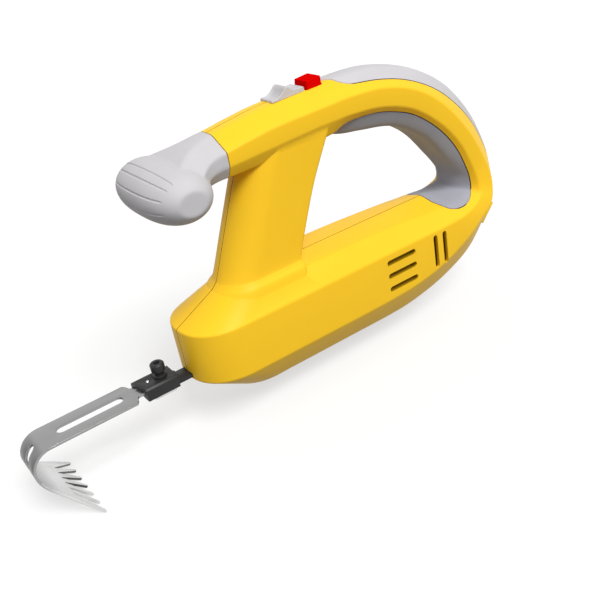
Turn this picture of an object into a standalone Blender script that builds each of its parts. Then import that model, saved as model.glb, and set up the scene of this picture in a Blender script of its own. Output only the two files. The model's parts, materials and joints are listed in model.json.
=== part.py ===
"""Cordless weed puller, modelled as the pieces it is made of.

A motor in the strut turns a crank gear in the nose. The crank's eccentric shakes a
plunger along X, and the plunger carries the toothed blade. Lengths are millimetres in
the drawing frame: X runs from the blade to the rear of the handle loop, Z is up, y = 0
is the parting plane and the origin is the rear end of the blade's strap, on its upper
face. Objects are made in metres, moved so that the origin is below the middle of the
tool's length, on the floor that its tine tips touch.
"""
import math

import bmesh
import bpy
from mathutils import Matrix, Vector

MM = 0.001
SLIVER = 0.000005
FIT_GAP = 0.3
PIN_GAP = 0.15

# Blade: flat pattern of spring steel, bent once.
STEEL = 2.0
STRAP_HALF = 15.5
STRAP_LENGTH = 73.0
TONGUE_HALF = 7.4
TONGUE_LENGTH = 34.0
BEND_RADIUS = 16.5
BEND_ANGLE = math.radians(134.5)
FAN_LENGTH = 41.0
TINES = 7
TINE_PITCH = 12.5
TINE_ROOT_PITCH = 7.8
TINE_LENGTH = 21.5
TINE_TIP = 2.2
SLOT_HALF = 4.5
SLOT_ENDS = (7.9, 62.8)
BEND_SLOT_HALF = 3.6
BEND_SLOT_ENDS = (81.0, 107.0)

# Housing: one form, hollowed and parted into two half shells at y = 0.
WALL = 3.0
PART_GAP = 0.3
BOOM_HALF = 26.5
BOOM_FLAT_HALF = 8.5
BODY_HALF = 38.3
ROOF_HALF = 26.0
FLOOR_HALF = 24.0
FLOOR_Z = -33.0
LOWER_CREASE_Z = -9.2
UPPER_CREASE_Z = 34.4
ROOF_EDGE_Z = 51.0
ROOF_CROWN = 2.2
NOSE_END_X = 126.0
NOSE_POWER = 2.3
BOOM_FRONT_X = 111.5
LOOP_REAR_X = 384.0
GRIP_DEPTH = 1.4
RECESS_GAP = 0.4

# Strut between body and boom: heights, front and rear of its sections.
STRUT_HALF = 24.5
STRUT_NOSE = 26.0
STRUT_RISE = [
    (44.0, 84.6, 152.0, 6.0),
    (52.0, 88.2, 156.0, 4.0),
    (56.5, 90.2, 158.0, 1.2),
    (62.0, 92.7, 160.0, 0.0),
    (90.0, 105.2, 171.5, 0.0),
    (117.0, 117.3, 184.0, 0.0),
    (145.0, 129.8, 200.0, 0.0),
    (160.0, 136.5, 209.0, 0.0),
]

# Drive: gear pair, eccentric and plunger.
MODULE = 1.0
GEAR_TEETH = 36
PINION_TEETH = 12
PRESSURE = math.radians(20.0)
GEAR_LOW = 1.0
GEAR_HIGH = 7.0
CRANK_X = 101.0
BACKLASH = 0.15
MOTOR_X = CRANK_X + MODULE * (GEAR_TEETH + PINION_TEETH) / 2 + BACKLASH
SHAFT_RADIUS = 4.0
THROW = 1.5
ECCENTRIC_RADIUS = 6.0
FOLLOWER_RADIUS = 10.5
FOLLOWER_LOW = -8.2
FOLLOWER_HIGH = -3.2
BEARING_RADIUS = 9.5
LOWER_BEARING = (-16.0, -10.0)
UPPER_BEARING = (9.8, 15.5)
BASE_TOP = -16.3
COVER_LOW = 9.5
MOTOR_RADIUS = 17.5
MOTOR_LOW = 18.0
MOTOR_HIGH = 72.0
BAR_HALF = 7.0
BAR_LOW = -7.5
BAR_HIGH = -4.0
BAR_FRONT = 8.0
BAR_REAR = CRANK_X + 39.0
YOKE_RAIL = 4.4
MOTOR_SHAFT = 2.0
FRONT_GUIDE = ((CRANK_X - 35.0, -13.0, -12.2), (CRANK_X - 28.0, 13.0, 1.0))
REAR_GUIDE_X = (CRANK_X + 26.0, CRANK_X + 35.0)
NOSE_SEAL = ((52.5, -9.0, -8.9), (55.5, 9.0, -1.5))

# Gearcase: a base and a cover, wider behind the crank, held by four screws.
CASE_LOW = -19.6
CASE_HALF = 25.0
CASE_FRONT = CRANK_X - 17.0
CASE_REAR = CRANK_X + 45.0
COVER_THICKNESS = 3.4
CUP_RADIUS = 12.4
CASE_SCREWS = [(CRANK_X - 10.5, -21.2), (CRANK_X - 10.5, 21.2), (CRANK_X + 40.5, -21.2),
               (CRANK_X + 40.5, 21.2)]
CASE_SCREW_RADIUS = 1.25

# Clamp with its thumb screw.
CLAMP_FRONT = 4.0
CLAMP_REAR = 36.0
CLAMP_HALF = 10.3
CLAMP_TOP = 3.3
SCREW_X = 25.5
PIN_X = 14.5
THUMB_RADIUS = 2.5
PIN_RADIUS = 1.5

# Controls on the boom.
SWITCH_TRAVEL = 5.0
STEM_X = (173.0, 184.0)
STEM_HALF = 4.0
BUTTON_X = (197.4, 213.0)
BUTTON_HALF = 7.8
BUTTON_TOP = 189.0
MODULE_X = (168.0, 214.0)
MODULE_HALF = 8.5
MODULE_Z = (150.0, 166.5)
SPRING_X = 205.2
SPRING_Z = (166.8, 182.4)
SPRING_RADIUS = 3.4
SPRING_WIRE = 0.42
SPRING_TURNS = 6

# Battery: three cells along X, two below and one above.
CELL_RADIUS = 9.1
CELL_X = (176.0, 241.0)
CELL_PLACES = [(-9.6, -17.6), (9.6, -17.6), (0.0, -1.0)]

# Charging socket in the slanted rear face, under a hinged cover.
SOCKET = (368.6, 17.4)
SOCKET_ALONG = Vector((0.682, 0.0, 0.731))
SOCKET_OUT = Vector((0.731, 0.0, -0.682))
JACK_RADIUS = 3.2
JACK_PIN = 1.0
COVER_HALF = 18.5
COVER_REACH = 11.0
COVER_THICK = 6.0
HINGE_DROP = -13.6
HINGE_OUT = 3.0

HOUSING_SCREWS = [(64.0, 22.0), (162.0, -18.0), (270.0, -14.0), (356.0, 68.0),
                  (303.0, 141.0), (240.0, 163.0), (150.0, 160.0)]
SCREW_RADIUS = 1.5
BOSS_RADIUS = 4.2
BOSS_SINK = 0.8
COUNTERBORE = 3.4
BODY_SEAT = 20.0
LOOP_SEAT = 14.0
VENT_LEVELS = (25.9, 13.6, 1.0)
VENT_ENDS = (231.0, 263.0)
VENT_HALF = 1.6
VENT_DEPTH = 1.8
AIR_SLOTS = (286.5, 297.3)
AIR_SLOT_ENDS = (-1.0, 31.0)
AIR_SLOT_HALF = 2.3

# Front grip: a cross bar with flat ends, and a neck that flares into it.
BAR_CENTRE = Vector((67.65, 0.0, 145.5))
BAR_SIZE = (26.9, 50.0, 21.0)
GRIP_HALF = 48.0
GRIP_SCREW = (119.0, 158.0)
GRIP_SEAT = 24.9
NECK_ROWS = [
    (104.5, 26.3, 163.2, 152.4, 8.8, 173.4, 12.5, 142.6),
    (98.0, 27.2, 161.8, 151.4, 9.8, 172.2, 12.8, 142.2),
    (92.0, 30.2, 159.8, 149.8, 12.2, 170.7, 13.4, 141.2),
    (86.0, 34.8, 157.0, 147.8, 15.8, 168.9, 14.2, 139.4),
    (80.0, 39.6, 153.8, 145.8, 20.4, 167.0, 15.0, 137.4),
    (74.0, 42.0, 151.4, 144.0, 25.2, 165.0, 15.6, 135.6),
    (68.0, 42.4, 149.4, 142.4, 28.4, 162.6, 16.0, 134.4),
]

BEND_X = -STRAP_LENGTH
FAN_DROP = FAN_LENGTH * math.sin(math.pi - BEND_ANGLE)
TIP_Z = -STEEL / 2 - BEND_RADIUS * (1 - math.cos(BEND_ANGLE)) - FAN_DROP - STEEL * 0.36
BLADE_FRONT_X = BEND_X - BEND_RADIUS - STEEL / 2
DATUM = Vector(((BLADE_FRONT_X + LOOP_REAR_X) / 2, 0.0, TIP_Z))


def material(name, colour, metallic, roughness):
    """Principled material for one kind of surface."""
    made = bpy.data.materials.new(name)
    made.use_nodes = True
    made.diffuse_color = (*colour, 1.0)
    shader = made.node_tree.nodes["Principled BSDF"]
    shader.inputs["Base Color"].default_value = (*colour, 1.0)
    shader.inputs["Metallic"].default_value = metallic
    shader.inputs["Roughness"].default_value = roughness
    return made


def add_part(name, bm, skin=None, pivot=None):
    """Turn a bmesh in drawing millimetres into a named object in metres."""
    bmesh.ops.remove_doubles(bm, verts=bm.verts, dist=0.001)
    bmesh.ops.recalc_face_normals(bm, faces=bm.faces)
    origin = Vector(pivot) if pivot else DATUM
    bmesh.ops.translate(bm, verts=bm.verts, vec=-origin)
    bmesh.ops.scale(bm, verts=bm.verts, vec=(MM, MM, MM))
    mesh = bpy.data.meshes.new(name)
    bm.to_mesh(mesh)
    bm.free()
    made = bpy.data.objects.new(name, mesh)
    made.location = (origin - DATUM) * MM
    bpy.context.scene.collection.objects.link(made)
    if skin:
        mesh.materials.append(skin)
    return made


def combine(target, operation, tools):
    """Apply Boolean modifiers, close up slivers and remove the cutters."""
    for tool in tools:
        tool.hide_render = True
        tool.display_type = "WIRE"
        step = target.modifiers.new(operation.title(), "BOOLEAN")
        step.operation = operation
        step.solver = "EXACT"
        step.object = tool
    bpy.context.view_layer.update()
    shape = target.evaluated_get(bpy.context.evaluated_depsgraph_get())
    mesh = bpy.data.meshes.new_from_object(shape)
    bm = bmesh.new()
    bm.from_mesh(mesh)
    bmesh.ops.remove_doubles(bm, verts=bm.verts, dist=SLIVER)
    bm.to_mesh(mesh)
    bm.free()
    target.modifiers.clear()
    target.data = mesh
    for tool in tools:
        bpy.data.objects.remove(tool)
    return target


def cut(target, *tools):
    """Take the tools' volumes away."""
    return combine(target, "DIFFERENCE", tools)


def join(target, *tools):
    """Add the tools' volumes."""
    return combine(target, "UNION", tools)


def shade_round(made, angle=35.0):
    """Shade curved faces smooth and keep corners crisp."""
    made.data.shade_smooth()
    bm = bmesh.new()
    bm.from_mesh(made.data)
    for edge in bm.edges:
        if len(edge.link_faces) == 2 and edge.calc_face_angle(0.0) > math.radians(angle):
            edge.smooth = False
    bm.to_mesh(made.data)
    bm.free()
    return made


def box(low, high):
    """Box between two corners."""
    bm = bmesh.new()
    bmesh.ops.create_cube(bm, size=1.0)
    size = Vector(high) - Vector(low)
    bmesh.ops.scale(bm, verts=bm.verts, vec=size)
    bmesh.ops.translate(bm, verts=bm.verts, vec=(Vector(high) + Vector(low)) / 2)
    return bm


def rounded_box(low, high, radius, axis=2, segments=3):
    """Box whose edges along one axis are rounded."""
    bm = box(low, high)
    along = [e for e in bm.edges if abs((e.verts[0].co - e.verts[1].co).normalized()[axis]) > 0.9]
    bmesh.ops.bevel(bm, geom=along, offset=radius, segments=segments, profile=0.5,
                    affect="EDGES", material=-1)
    return bm


def extruded(outline, depth):
    """Flat outline carried along a vector."""
    bm = bmesh.new()
    face = bm.faces.new([bm.verts.new(p) for p in outline])
    grown = bmesh.ops.extrude_face_region(bm, geom=[face])
    moved = [g for g in grown["geom"] if isinstance(g, bmesh.types.BMVert)]
    bmesh.ops.translate(bm, verts=moved, vec=depth)
    return bm


def turned(profile, centre, axis="Z", steps=24):
    """Profile of radius and height spun once round an axis through the centre."""
    bm = bmesh.new()
    verts = [bm.verts.new((r, 0.0, h)) for r, h in profile]
    ring = verts + verts[:1]
    edges = [bm.edges.new((a, b)) for a, b in zip(ring, ring[1:]) if a.co.x + b.co.x > 0]
    bmesh.ops.spin(bm, geom=verts + edges, axis=(0, 0, 1), cent=(0, 0, 0), dvec=(0, 0, 0),
                   angle=math.tau, steps=steps, use_merge=True)
    bmesh.ops.remove_doubles(bm, verts=bm.verts, dist=0.001)
    poles = [v for v in bm.verts if v.co.xy.length < 0.001]
    bmesh.ops.dissolve_verts(bm, verts=poles)
    turn = {"Z": Matrix.Identity(4), "X": Matrix.Rotation(math.pi / 2, 4, "Y"),
            "Y": Matrix.Rotation(-math.pi / 2, 4, "X")}[axis]
    bmesh.ops.transform(bm, verts=bm.verts, matrix=Matrix.Translation(centre) @ turn)
    return bm


def cylinder(radius, low, high, centre, axis="Z", steps=24):
    """Plain cylinder along an axis, between two distances from the centre."""
    return turned([(0, low), (radius, low), (radius, high), (0, high)], centre, axis, steps)


def tool(bm):
    """Unnamed cutter or addition for one Boolean step."""
    return add_part("tool", bm)


def slot_outline(start, end, half, place, steps=6):
    """Stadium outline between two points, its corners placed by a function."""
    points = []
    for end_at, from_angle in ((end - half, -math.pi / 2), (start + half, math.pi / 2)):
        for i in range(steps + 1):
            angle = from_angle + math.pi * i / steps
            points.append(place(end_at + half * math.cos(angle), half * math.sin(angle)))
    return points


# Blade.


def fan_half_width(along):
    """Half width of the flat pattern at a distance from the strap's rear end."""
    tip = STRAP_LENGTH + BEND_RADIUS * BEND_ANGLE + FAN_LENGTH
    marks = [(tip - 56, STRAP_HALF), (tip - 48, 17.2), (tip - 40, 21.5),
             (tip - 22, 30.0), (tip, 38.6)]
    for (a, wide_a), (b, wide_b) in zip(marks, marks[1:]):
        if along <= b:
            return wide_a + (wide_b - wide_a) * max(along - a, 0) / (b - a)
    return marks[-1][1]


def blade_outline():
    """Half of the flat pattern's outline, from the tongue to the middle tine."""
    tip = STRAP_LENGTH + BEND_RADIUS * BEND_ANGLE + FAN_LENGTH
    side = [(-TONGUE_LENGTH, TONGUE_HALF), (-2.6, TONGUE_HALF), (-1.2, TONGUE_HALF + 1.2),
            (0.0, STRAP_HALF - 3.0), (2.2, STRAP_HALF)]
    side += [(tip - back, fan_half_width(tip - back)) for back in (56, 52, 48, 44, 40, 31, 22)]
    for k in range(TINES // 2, 0, -1):
        middle = TINE_PITCH * k
        side.append((tip, middle + TINE_TIP / 2))
        side.append((tip, middle - TINE_TIP / 2))
        root = TINE_ROOT_PITCH * (k - 0.5)
        side.append((tip - TINE_LENGTH, root + 0.45))
        side.append((tip - TINE_LENGTH, root - 0.45))
    side.append((tip, TINE_TIP / 2))
    return side


def bend_sheet(point):
    """Place of a flat pattern point (distance, side, height) on the bent blade."""
    along, side, height = point
    if along <= STRAP_LENGTH:
        return Vector((-along, side, height - STEEL / 2))
    turn = min((along - STRAP_LENGTH) / BEND_RADIUS, BEND_ANGLE)
    radius = BEND_RADIUS + height
    x = BEND_X - radius * math.sin(turn)
    z = -STEEL / 2 - BEND_RADIUS + radius * math.cos(turn)
    rest = along - STRAP_LENGTH - BEND_RADIUS * BEND_ANGLE
    if rest > 0:
        x -= rest * math.cos(turn)
        z -= rest * math.sin(turn)
    return Vector((x, side, z))


def make_blade(skin):
    """Flat pattern with two slots, scored across the bend, thickened and bent."""
    half = blade_outline()
    outline = half + [(along, -side) for along, side in reversed(half)]
    bm = bmesh.new()
    flat = bm.faces.new([bm.verts.new((along, side, -STEEL / 2)) for along, side in outline])
    grown = bmesh.ops.extrude_face_region(bm, geom=[flat])
    moved = [g for g in grown["geom"] if isinstance(g, bmesh.types.BMVert)]
    bmesh.ops.translate(bm, verts=moved, vec=(0, 0, STEEL))
    blank = add_part("blade", bm, skin, pivot=(0, 0, 0))
    holes = []
    for ends, wide in ((SLOT_ENDS, SLOT_HALF), (BEND_SLOT_ENDS, BEND_SLOT_HALF)):
        low = slot_outline(ends[0], ends[1], wide, lambda a, b: (a, b, -STEEL))
        holes.append(add_part("tool", extruded(low, (0, 0, 2 * STEEL)), pivot=(0, 0, 0)))
    holes.append(add_part("tool", cylinder(THUMB_RADIUS + FIT_GAP, -STEEL, STEEL,
                                           (-SCREW_X, 0, 0)), pivot=(0, 0, 0)))
    holes.append(add_part("tool", cylinder(PIN_RADIUS + PIN_GAP, -STEEL, STEEL, (-PIN_X, 0, 0),
                                           steps=18), pivot=(0, 0, 0)))
    cut(blank, *holes)
    bm = bmesh.new()
    bm.from_mesh(blank.data)
    bmesh.ops.scale(bm, verts=bm.verts, vec=(1 / MM, 1 / MM, 1 / MM))
    rows = 12
    for i in range(rows + 1):
        place = STRAP_LENGTH + BEND_RADIUS * BEND_ANGLE * i / rows
        everything = list(bm.verts) + list(bm.edges) + list(bm.faces)
        bmesh.ops.bisect_plane(bm, geom=everything, dist=0.001, plane_co=(place, 0, 0),
                               plane_no=(1, 0, 0))
    bmesh.ops.triangulate(bm, faces=[f for f in bm.faces if len(f.verts) > 4])
    for vert in bm.verts:
        vert.co = bend_sheet(vert.co)
    bpy.data.objects.remove(blank)
    return shade_round(add_part("blade", bm, skin), 50.0)


def make_clamp(skin):
    """Inverted channel over the blade's tongue, its front edge slanted."""
    half, inner = CLAMP_HALF, CLAMP_HALF - 2.3
    section = [(-half, BAR_LOW), (-inner, BAR_LOW), (-inner, FIT_GAP), (inner, FIT_GAP),
               (inner, BAR_LOW), (half, BAR_LOW), (half, CLAMP_TOP - 1.4),
               (half - 1.4, CLAMP_TOP), (1.4 - half, CLAMP_TOP), (-half, CLAMP_TOP - 1.4)]
    outline = [(CLAMP_FRONT, y, z) for y, z in section]
    clamp = add_part("blade_clamp", extruded(outline, (CLAMP_REAR - CLAMP_FRONT, 0, 0)), skin)
    slant = [(CLAMP_FRONT - 1, -half - 1, 9), (CLAMP_FRONT + 4.2, -half - 1, 9),
             (CLAMP_FRONT + 4.2, 1 - half, 9), (CLAMP_FRONT - 0.2, half + 1, 9),
             (CLAMP_FRONT - 1, half + 1, 9)]
    cut(clamp, tool(extruded(slant, (0, 0, -20))),
        tool(cylinder(THUMB_RADIUS + FIT_GAP, -2, 9, (SCREW_X, 0, 0))),
        tool(cylinder(PIN_RADIUS + PIN_GAP, -2, 9, (PIN_X, 0, 0), steps=16)))
    return clamp


def make_thumb_screw(skin):
    """Socket head cap on a tapered neck, flange and threaded shank."""
    profile = [(0, -10.0), (THUMB_RADIUS, -10.0), (THUMB_RADIUS, 3.6), (5.6, 3.6), (5.6, 5.0),
               (3.7, 5.4), (4.4, 8.6), (5.75, 9.0), (5.75, 14.6), (4.9, 15.5), (0, 15.5)]
    screw = add_part("thumb_screw", turned(profile, (SCREW_X, 0, 0)), skin,
                     pivot=(SCREW_X, 0, 0))
    socket = cylinder(2.9, 11.0, 16.5, (SCREW_X, 0, 0), steps=6)
    cut(screw, add_part("tool", socket, pivot=(SCREW_X, 0, 0)))
    return shade_round(screw)


def make_nut_plate(skin):
    """Plate under the bar that the thumb screw's thread runs in."""
    plate = add_part("clamp_nut_plate", rounded_box((15, -7, -11.2), (34, 7, -7.8), 1.5), skin)
    cut(plate, tool(cylinder(THUMB_RADIUS + FIT_GAP, -13, -6, (SCREW_X, 0, 0))))
    return plate


def make_plunger(skin):
    """Bar with a raised clamp pad, a yoke round the follower and a guided tail."""
    window = FOLLOWER_RADIUS + 2 * THROW + FIT_GAP
    side = FOLLOWER_RADIUS + THROW + FIT_GAP + 0.2
    bar = add_part("plunger", box((BAR_FRONT, -BAR_HALF, BAR_LOW),
                                  (BAR_REAR, BAR_HALF, BAR_HIGH)), skin)
    pad = box((BAR_FRONT, -BAR_HALF, BAR_LOW + 0.5),
              (CLAMP_REAR + 4.0, BAR_HALF, -STEEL - FIT_GAP))
    ring = rounded_box((CRANK_X - window - 5, -side - YOKE_RAIL, FOLLOWER_LOW - 0.8),
                       (CRANK_X + window + 5, side + YOKE_RAIL, FOLLOWER_HIGH + 0.7), 4.0)
    join(bar, tool(pad), tool(ring))
    hole = rounded_box((CRANK_X - window, -side, -12), (CRANK_X + window, side, 0), 2.0)
    cut(bar, tool(hole), tool(cylinder(THUMB_RADIUS + FIT_GAP, -12, 0, (SCREW_X, 0, 0))),
        tool(cylinder(PIN_RADIUS + PIN_GAP, -6.5, 0, (PIN_X, 0, 0), steps=16)))
    return bar


def make_locating_pin(skin):
    """Dowel that keeps blade, clamp and bar in line."""
    top = CLAMP_TOP + 0.7
    profile = [(0, -6.2), (PIN_RADIUS, -6.2), (PIN_RADIUS, top - 0.4), (PIN_RADIUS - 0.4, top),
               (0, top)]
    return shade_round(add_part("locating_pin", turned(profile, (PIN_X, 0, 0), steps=16), skin))


# Drive.


def involute(radius, base):
    """Angle that an involute has swung through where it reaches a radius."""
    if radius <= base:
        return 0.0
    return math.sqrt((radius / base)**2 - 1.0) - math.acos(base / radius)


def gear_outline(teeth, centre, phase, height):
    """Involute tooth outline at a height, thinned for backlash."""
    pitch = MODULE * teeth / 2
    base = pitch * math.cos(PRESSURE)
    tip = pitch + 0.9 * MODULE
    root = pitch - 1.2 * MODULE
    half_tooth = math.pi / (2 * teeth) - BACKLASH / (2 * pitch)
    start = max(root, base)
    radii = [start if start > root + 0.3 else root, pitch, tip]
    points = []
    for k in range(teeth):
        middle = math.tau * k / teeth + phase
        flank = [(r, half_tooth + involute(pitch, base) - involute(r, base)) for r in radii]
        if base > root + 0.3:
            flank.insert(0, (root, flank[0][1]))
        for r, angle in flank:
            points.append((r, middle - angle))
        for r, angle in reversed(flank):
            points.append((r, middle + angle))
    return [(centre + r * math.cos(a), r * math.sin(a), height) for r, a in points]


def make_drive_gear(skin):
    """Toothed wheel with a web recess on both faces, on the crankshaft."""
    outline = gear_outline(GEAR_TEETH, CRANK_X, 0.0, GEAR_LOW)
    gear = add_part("drive_gear", extruded(outline, (0, 0, GEAR_HIGH - GEAR_LOW)), skin,
                    pivot=(CRANK_X, 0, 0))
    where = (CRANK_X, 0, 0)
    web = [(7.5, GEAR_HIGH - 1.6), (14.5, GEAR_HIGH - 1.6), (14.5, 9), (7.5, 9)]
    tools = [cylinder(SHAFT_RADIUS + FIT_GAP, -1, 9, where), turned(web, where)]
    cut(gear, *[add_part("tool", bm, pivot=where) for bm in tools])
    return gear


def make_crankshaft(skin):
    """Shaft with its eccentric disc between the two bearings."""
    where = (CRANK_X, 0, 0)
    profile = [(0, -16.2), (3.6, -16.2), (SHAFT_RADIUS, -15.8), (SHAFT_RADIUS, 15.2),
               (3.6, 15.6), (0, 15.6)]
    shaft = add_part("crankshaft", turned(profile, where), skin, pivot=where)
    disc = cylinder(ECCENTRIC_RADIUS, FOLLOWER_LOW - 0.6, FOLLOWER_HIGH + 0.6,
                    (CRANK_X + THROW, 0, 0))
    join(shaft, add_part("tool", disc, pivot=where))
    return shade_round(shaft)


def make_bearing(name, outer, inner, low, high, centre, skin, pivot=None):
    """Bearing ring with chamfered shoulders."""
    edge = 0.5
    profile = [(inner, low), (outer - edge, low), (outer, low + edge), (outer, high - edge),
               (outer - edge, high), (inner, high)]
    ring = turned(profile, centre, steps=20)
    return shade_round(add_part(name, ring, skin, pivot=pivot))


def case_outline(level, slant):
    """Outline of the gearcase's plates, its front corners cut off."""
    half = CASE_HALF
    side = [(CASE_FRONT, -16.0), (CASE_FRONT + slant, -half), (CASE_REAR, -half)]
    return [(x, y, level) for x, y in side + [(x, -y) for x, y in reversed(side)]]


def make_gearcase_base(skin):
    """Plate with the lower bearing's cup, four corner posts and two feet."""
    low, top = CASE_LOW, BASE_TOP
    case = add_part("gearcase_base", extruded(case_outline(low, 6.0), (0, 0, top - low)), skin)
    added = [cylinder(CUP_RADIUS, low + 0.5, LOWER_BEARING[1] - 0.4, (CRANK_X, 0, 0))]
    for x, y in CASE_SCREWS:
        added.append(cylinder(3.5, low + 0.5, COVER_LOW - FIT_GAP, (x, y, 0), steps=16))
    for y in (-12.0, 12.0):
        added.append(box((CASE_REAR - 28, y - 5, FLOOR_Z + WALL + FIT_GAP),
                         (CASE_REAR - 4, y + 5, low + 0.5)))
    join(case, *[tool(bm) for bm in added])
    taken = [turned([(0, low - 1), (5.4, low - 1), (5.4, top), (BEARING_RADIUS + FIT_GAP, top),
                     (BEARING_RADIUS + FIT_GAP, 0), (0, 0)], (CRANK_X, 0, 0))]
    for x, y in CASE_SCREWS:
        taken.append(cylinder(CASE_SCREW_RADIUS + FIT_GAP, -8, COVER_LOW + 1, (x, y, 0), steps=12))
    cut(case, *[tool(bm) for bm in taken])
    return case


def make_gearcase_cover(skin):
    """Plate over the gears with the upper bearing's cup and the motor's seat."""
    plate = extruded(case_outline(COVER_LOW, 4.0), (0, 0, COVER_THICKNESS))
    cover = add_part("gearcase_cover", plate, skin)
    seat = MOTOR_LOW - FIT_GAP
    join(cover, tool(cylinder(CUP_RADIUS, COVER_LOW + 0.5, seat - 0.2, (CRANK_X, 0, 0))),
         tool(cylinder(MOTOR_RADIUS, COVER_LOW + 0.7, seat, (MOTOR_X, 0, 0))))
    pocket = UPPER_BEARING[1] + FIT_GAP
    taken = [turned([(0, 6), (BEARING_RADIUS + FIT_GAP, 6), (BEARING_RADIUS + FIT_GAP, pocket),
                     (5.4, pocket), (5.4, 20), (0, 20)], (CRANK_X, 0, 0)),
             cylinder(5.5, 7, 21, (MOTOR_X, 0, 0))]
    for x, y in CASE_SCREWS:
        taken.append(cylinder(CASE_SCREW_RADIUS + FIT_GAP, 8, 19, (x, y, 0), steps=12))
    cut(cover, *[tool(bm) for bm in taken])
    return cover


def make_screw(name, radius, head, low, seat, high, centre, skin, axis="Z"):
    """Pan head screw, head above its seat."""
    profile = [(0, low), (radius, low), (radius, seat), (head, seat), (head, high - 0.6),
               (head - 0.6, high), (0, high)]
    return shade_round(add_part(name, turned(profile, centre, axis, 10), skin))


def make_motor(steel, dark, copper, brass):
    """Motor can, end cap, rotor with shaft, and pinion."""
    where = (MOTOR_X, 0, 0)
    wall = 1.2
    low, high = MOTOR_LOW, MOTOR_HIGH
    can = [(5.0, low), (MOTOR_RADIUS - 1.2, low), (MOTOR_RADIUS, low + 1.2),
           (MOTOR_RADIUS, high), (MOTOR_RADIUS - wall, high), (MOTOR_RADIUS - wall, low + wall),
           (5.0, low + wall)]
    shade_round(add_part("motor_can", turned(can, where), steel))
    rim = high + FIT_GAP
    inner = MOTOR_RADIUS - wall - FIT_GAP
    cap = [(2.4, rim - 5), (inner, rim - 5), (inner, rim), (MOTOR_RADIUS, rim),
           (MOTOR_RADIUS, rim + 1.4), (8, rim + 1.4), (7, rim + 4), (2.4, rim + 4)]
    shade_round(add_part("motor_end_cap", turned(cap, where), dark))
    pin = MOTOR_SHAFT
    core = MOTOR_RADIUS - 5.0
    rotor = [(0, GEAR_LOW - 0.2), (pin, GEAR_LOW - 0.2), (pin, low + 6), (core, low + 6),
             (core, high - 14), (6, high - 14), (6, high - 8), (pin, high - 8),
             (pin, high + 5), (0, high + 5)]
    shaft = shade_round(add_part("motor_rotor", turned(rotor, where, steps=20), copper,
                                 pivot=where))
    outline = gear_outline(PINION_TEETH, MOTOR_X, math.pi + math.pi / PINION_TEETH, GEAR_LOW)
    pinion = add_part("motor_pinion", extruded(outline, (0, 0, GEAR_HIGH - GEAR_LOW)), brass,
                      pivot=where)
    bore = cylinder(MOTOR_SHAFT + FIT_GAP, -2, 9, where)
    cut(pinion, add_part("tool", bore, pivot=where))
    return shaft


def make_guides(skin, rubber):
    """Front and rear guides of the plunger and the seal in the nose."""
    gap = FIT_GAP
    bar = ((CLAMP_REAR, -BAR_HALF - gap, BAR_LOW - gap),
           (BAR_REAR + 10, BAR_HALF + gap, BAR_HIGH + gap))
    low, high = FRONT_GUIDE
    cut(add_part("front_guide", rounded_box(low, high, 1.5, axis=0), skin), tool(box(*bar)))
    rear = rounded_box((REAR_GUIDE_X[0], -13, BASE_TOP + gap),
                       (REAR_GUIDE_X[1], 13, GEAR_LOW - 0.6), 1.5, axis=0)
    cut(add_part("rear_guide", rear, skin), tool(box(*bar)))
    low, high = NOSE_SEAL
    cut(add_part("nose_seal", rounded_box(low, high, 1.2, axis=0), rubber), tool(box(*bar)))


# Housing.


def inset_slope(half, flat, rise, wall):
    """Crease and flat edge of a chamfered section after its walls move inward."""
    run = half - flat
    length = math.hypot(run, rise)
    slide = (wall - wall * rise / length) / run
    crease = -wall * run / length + slide * rise
    reach = (rise - wall + wall * run / length) / rise
    edge = half - wall * rise / length - reach * run
    return half - wall, crease, max(edge, 1.0), rise - wall


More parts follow.
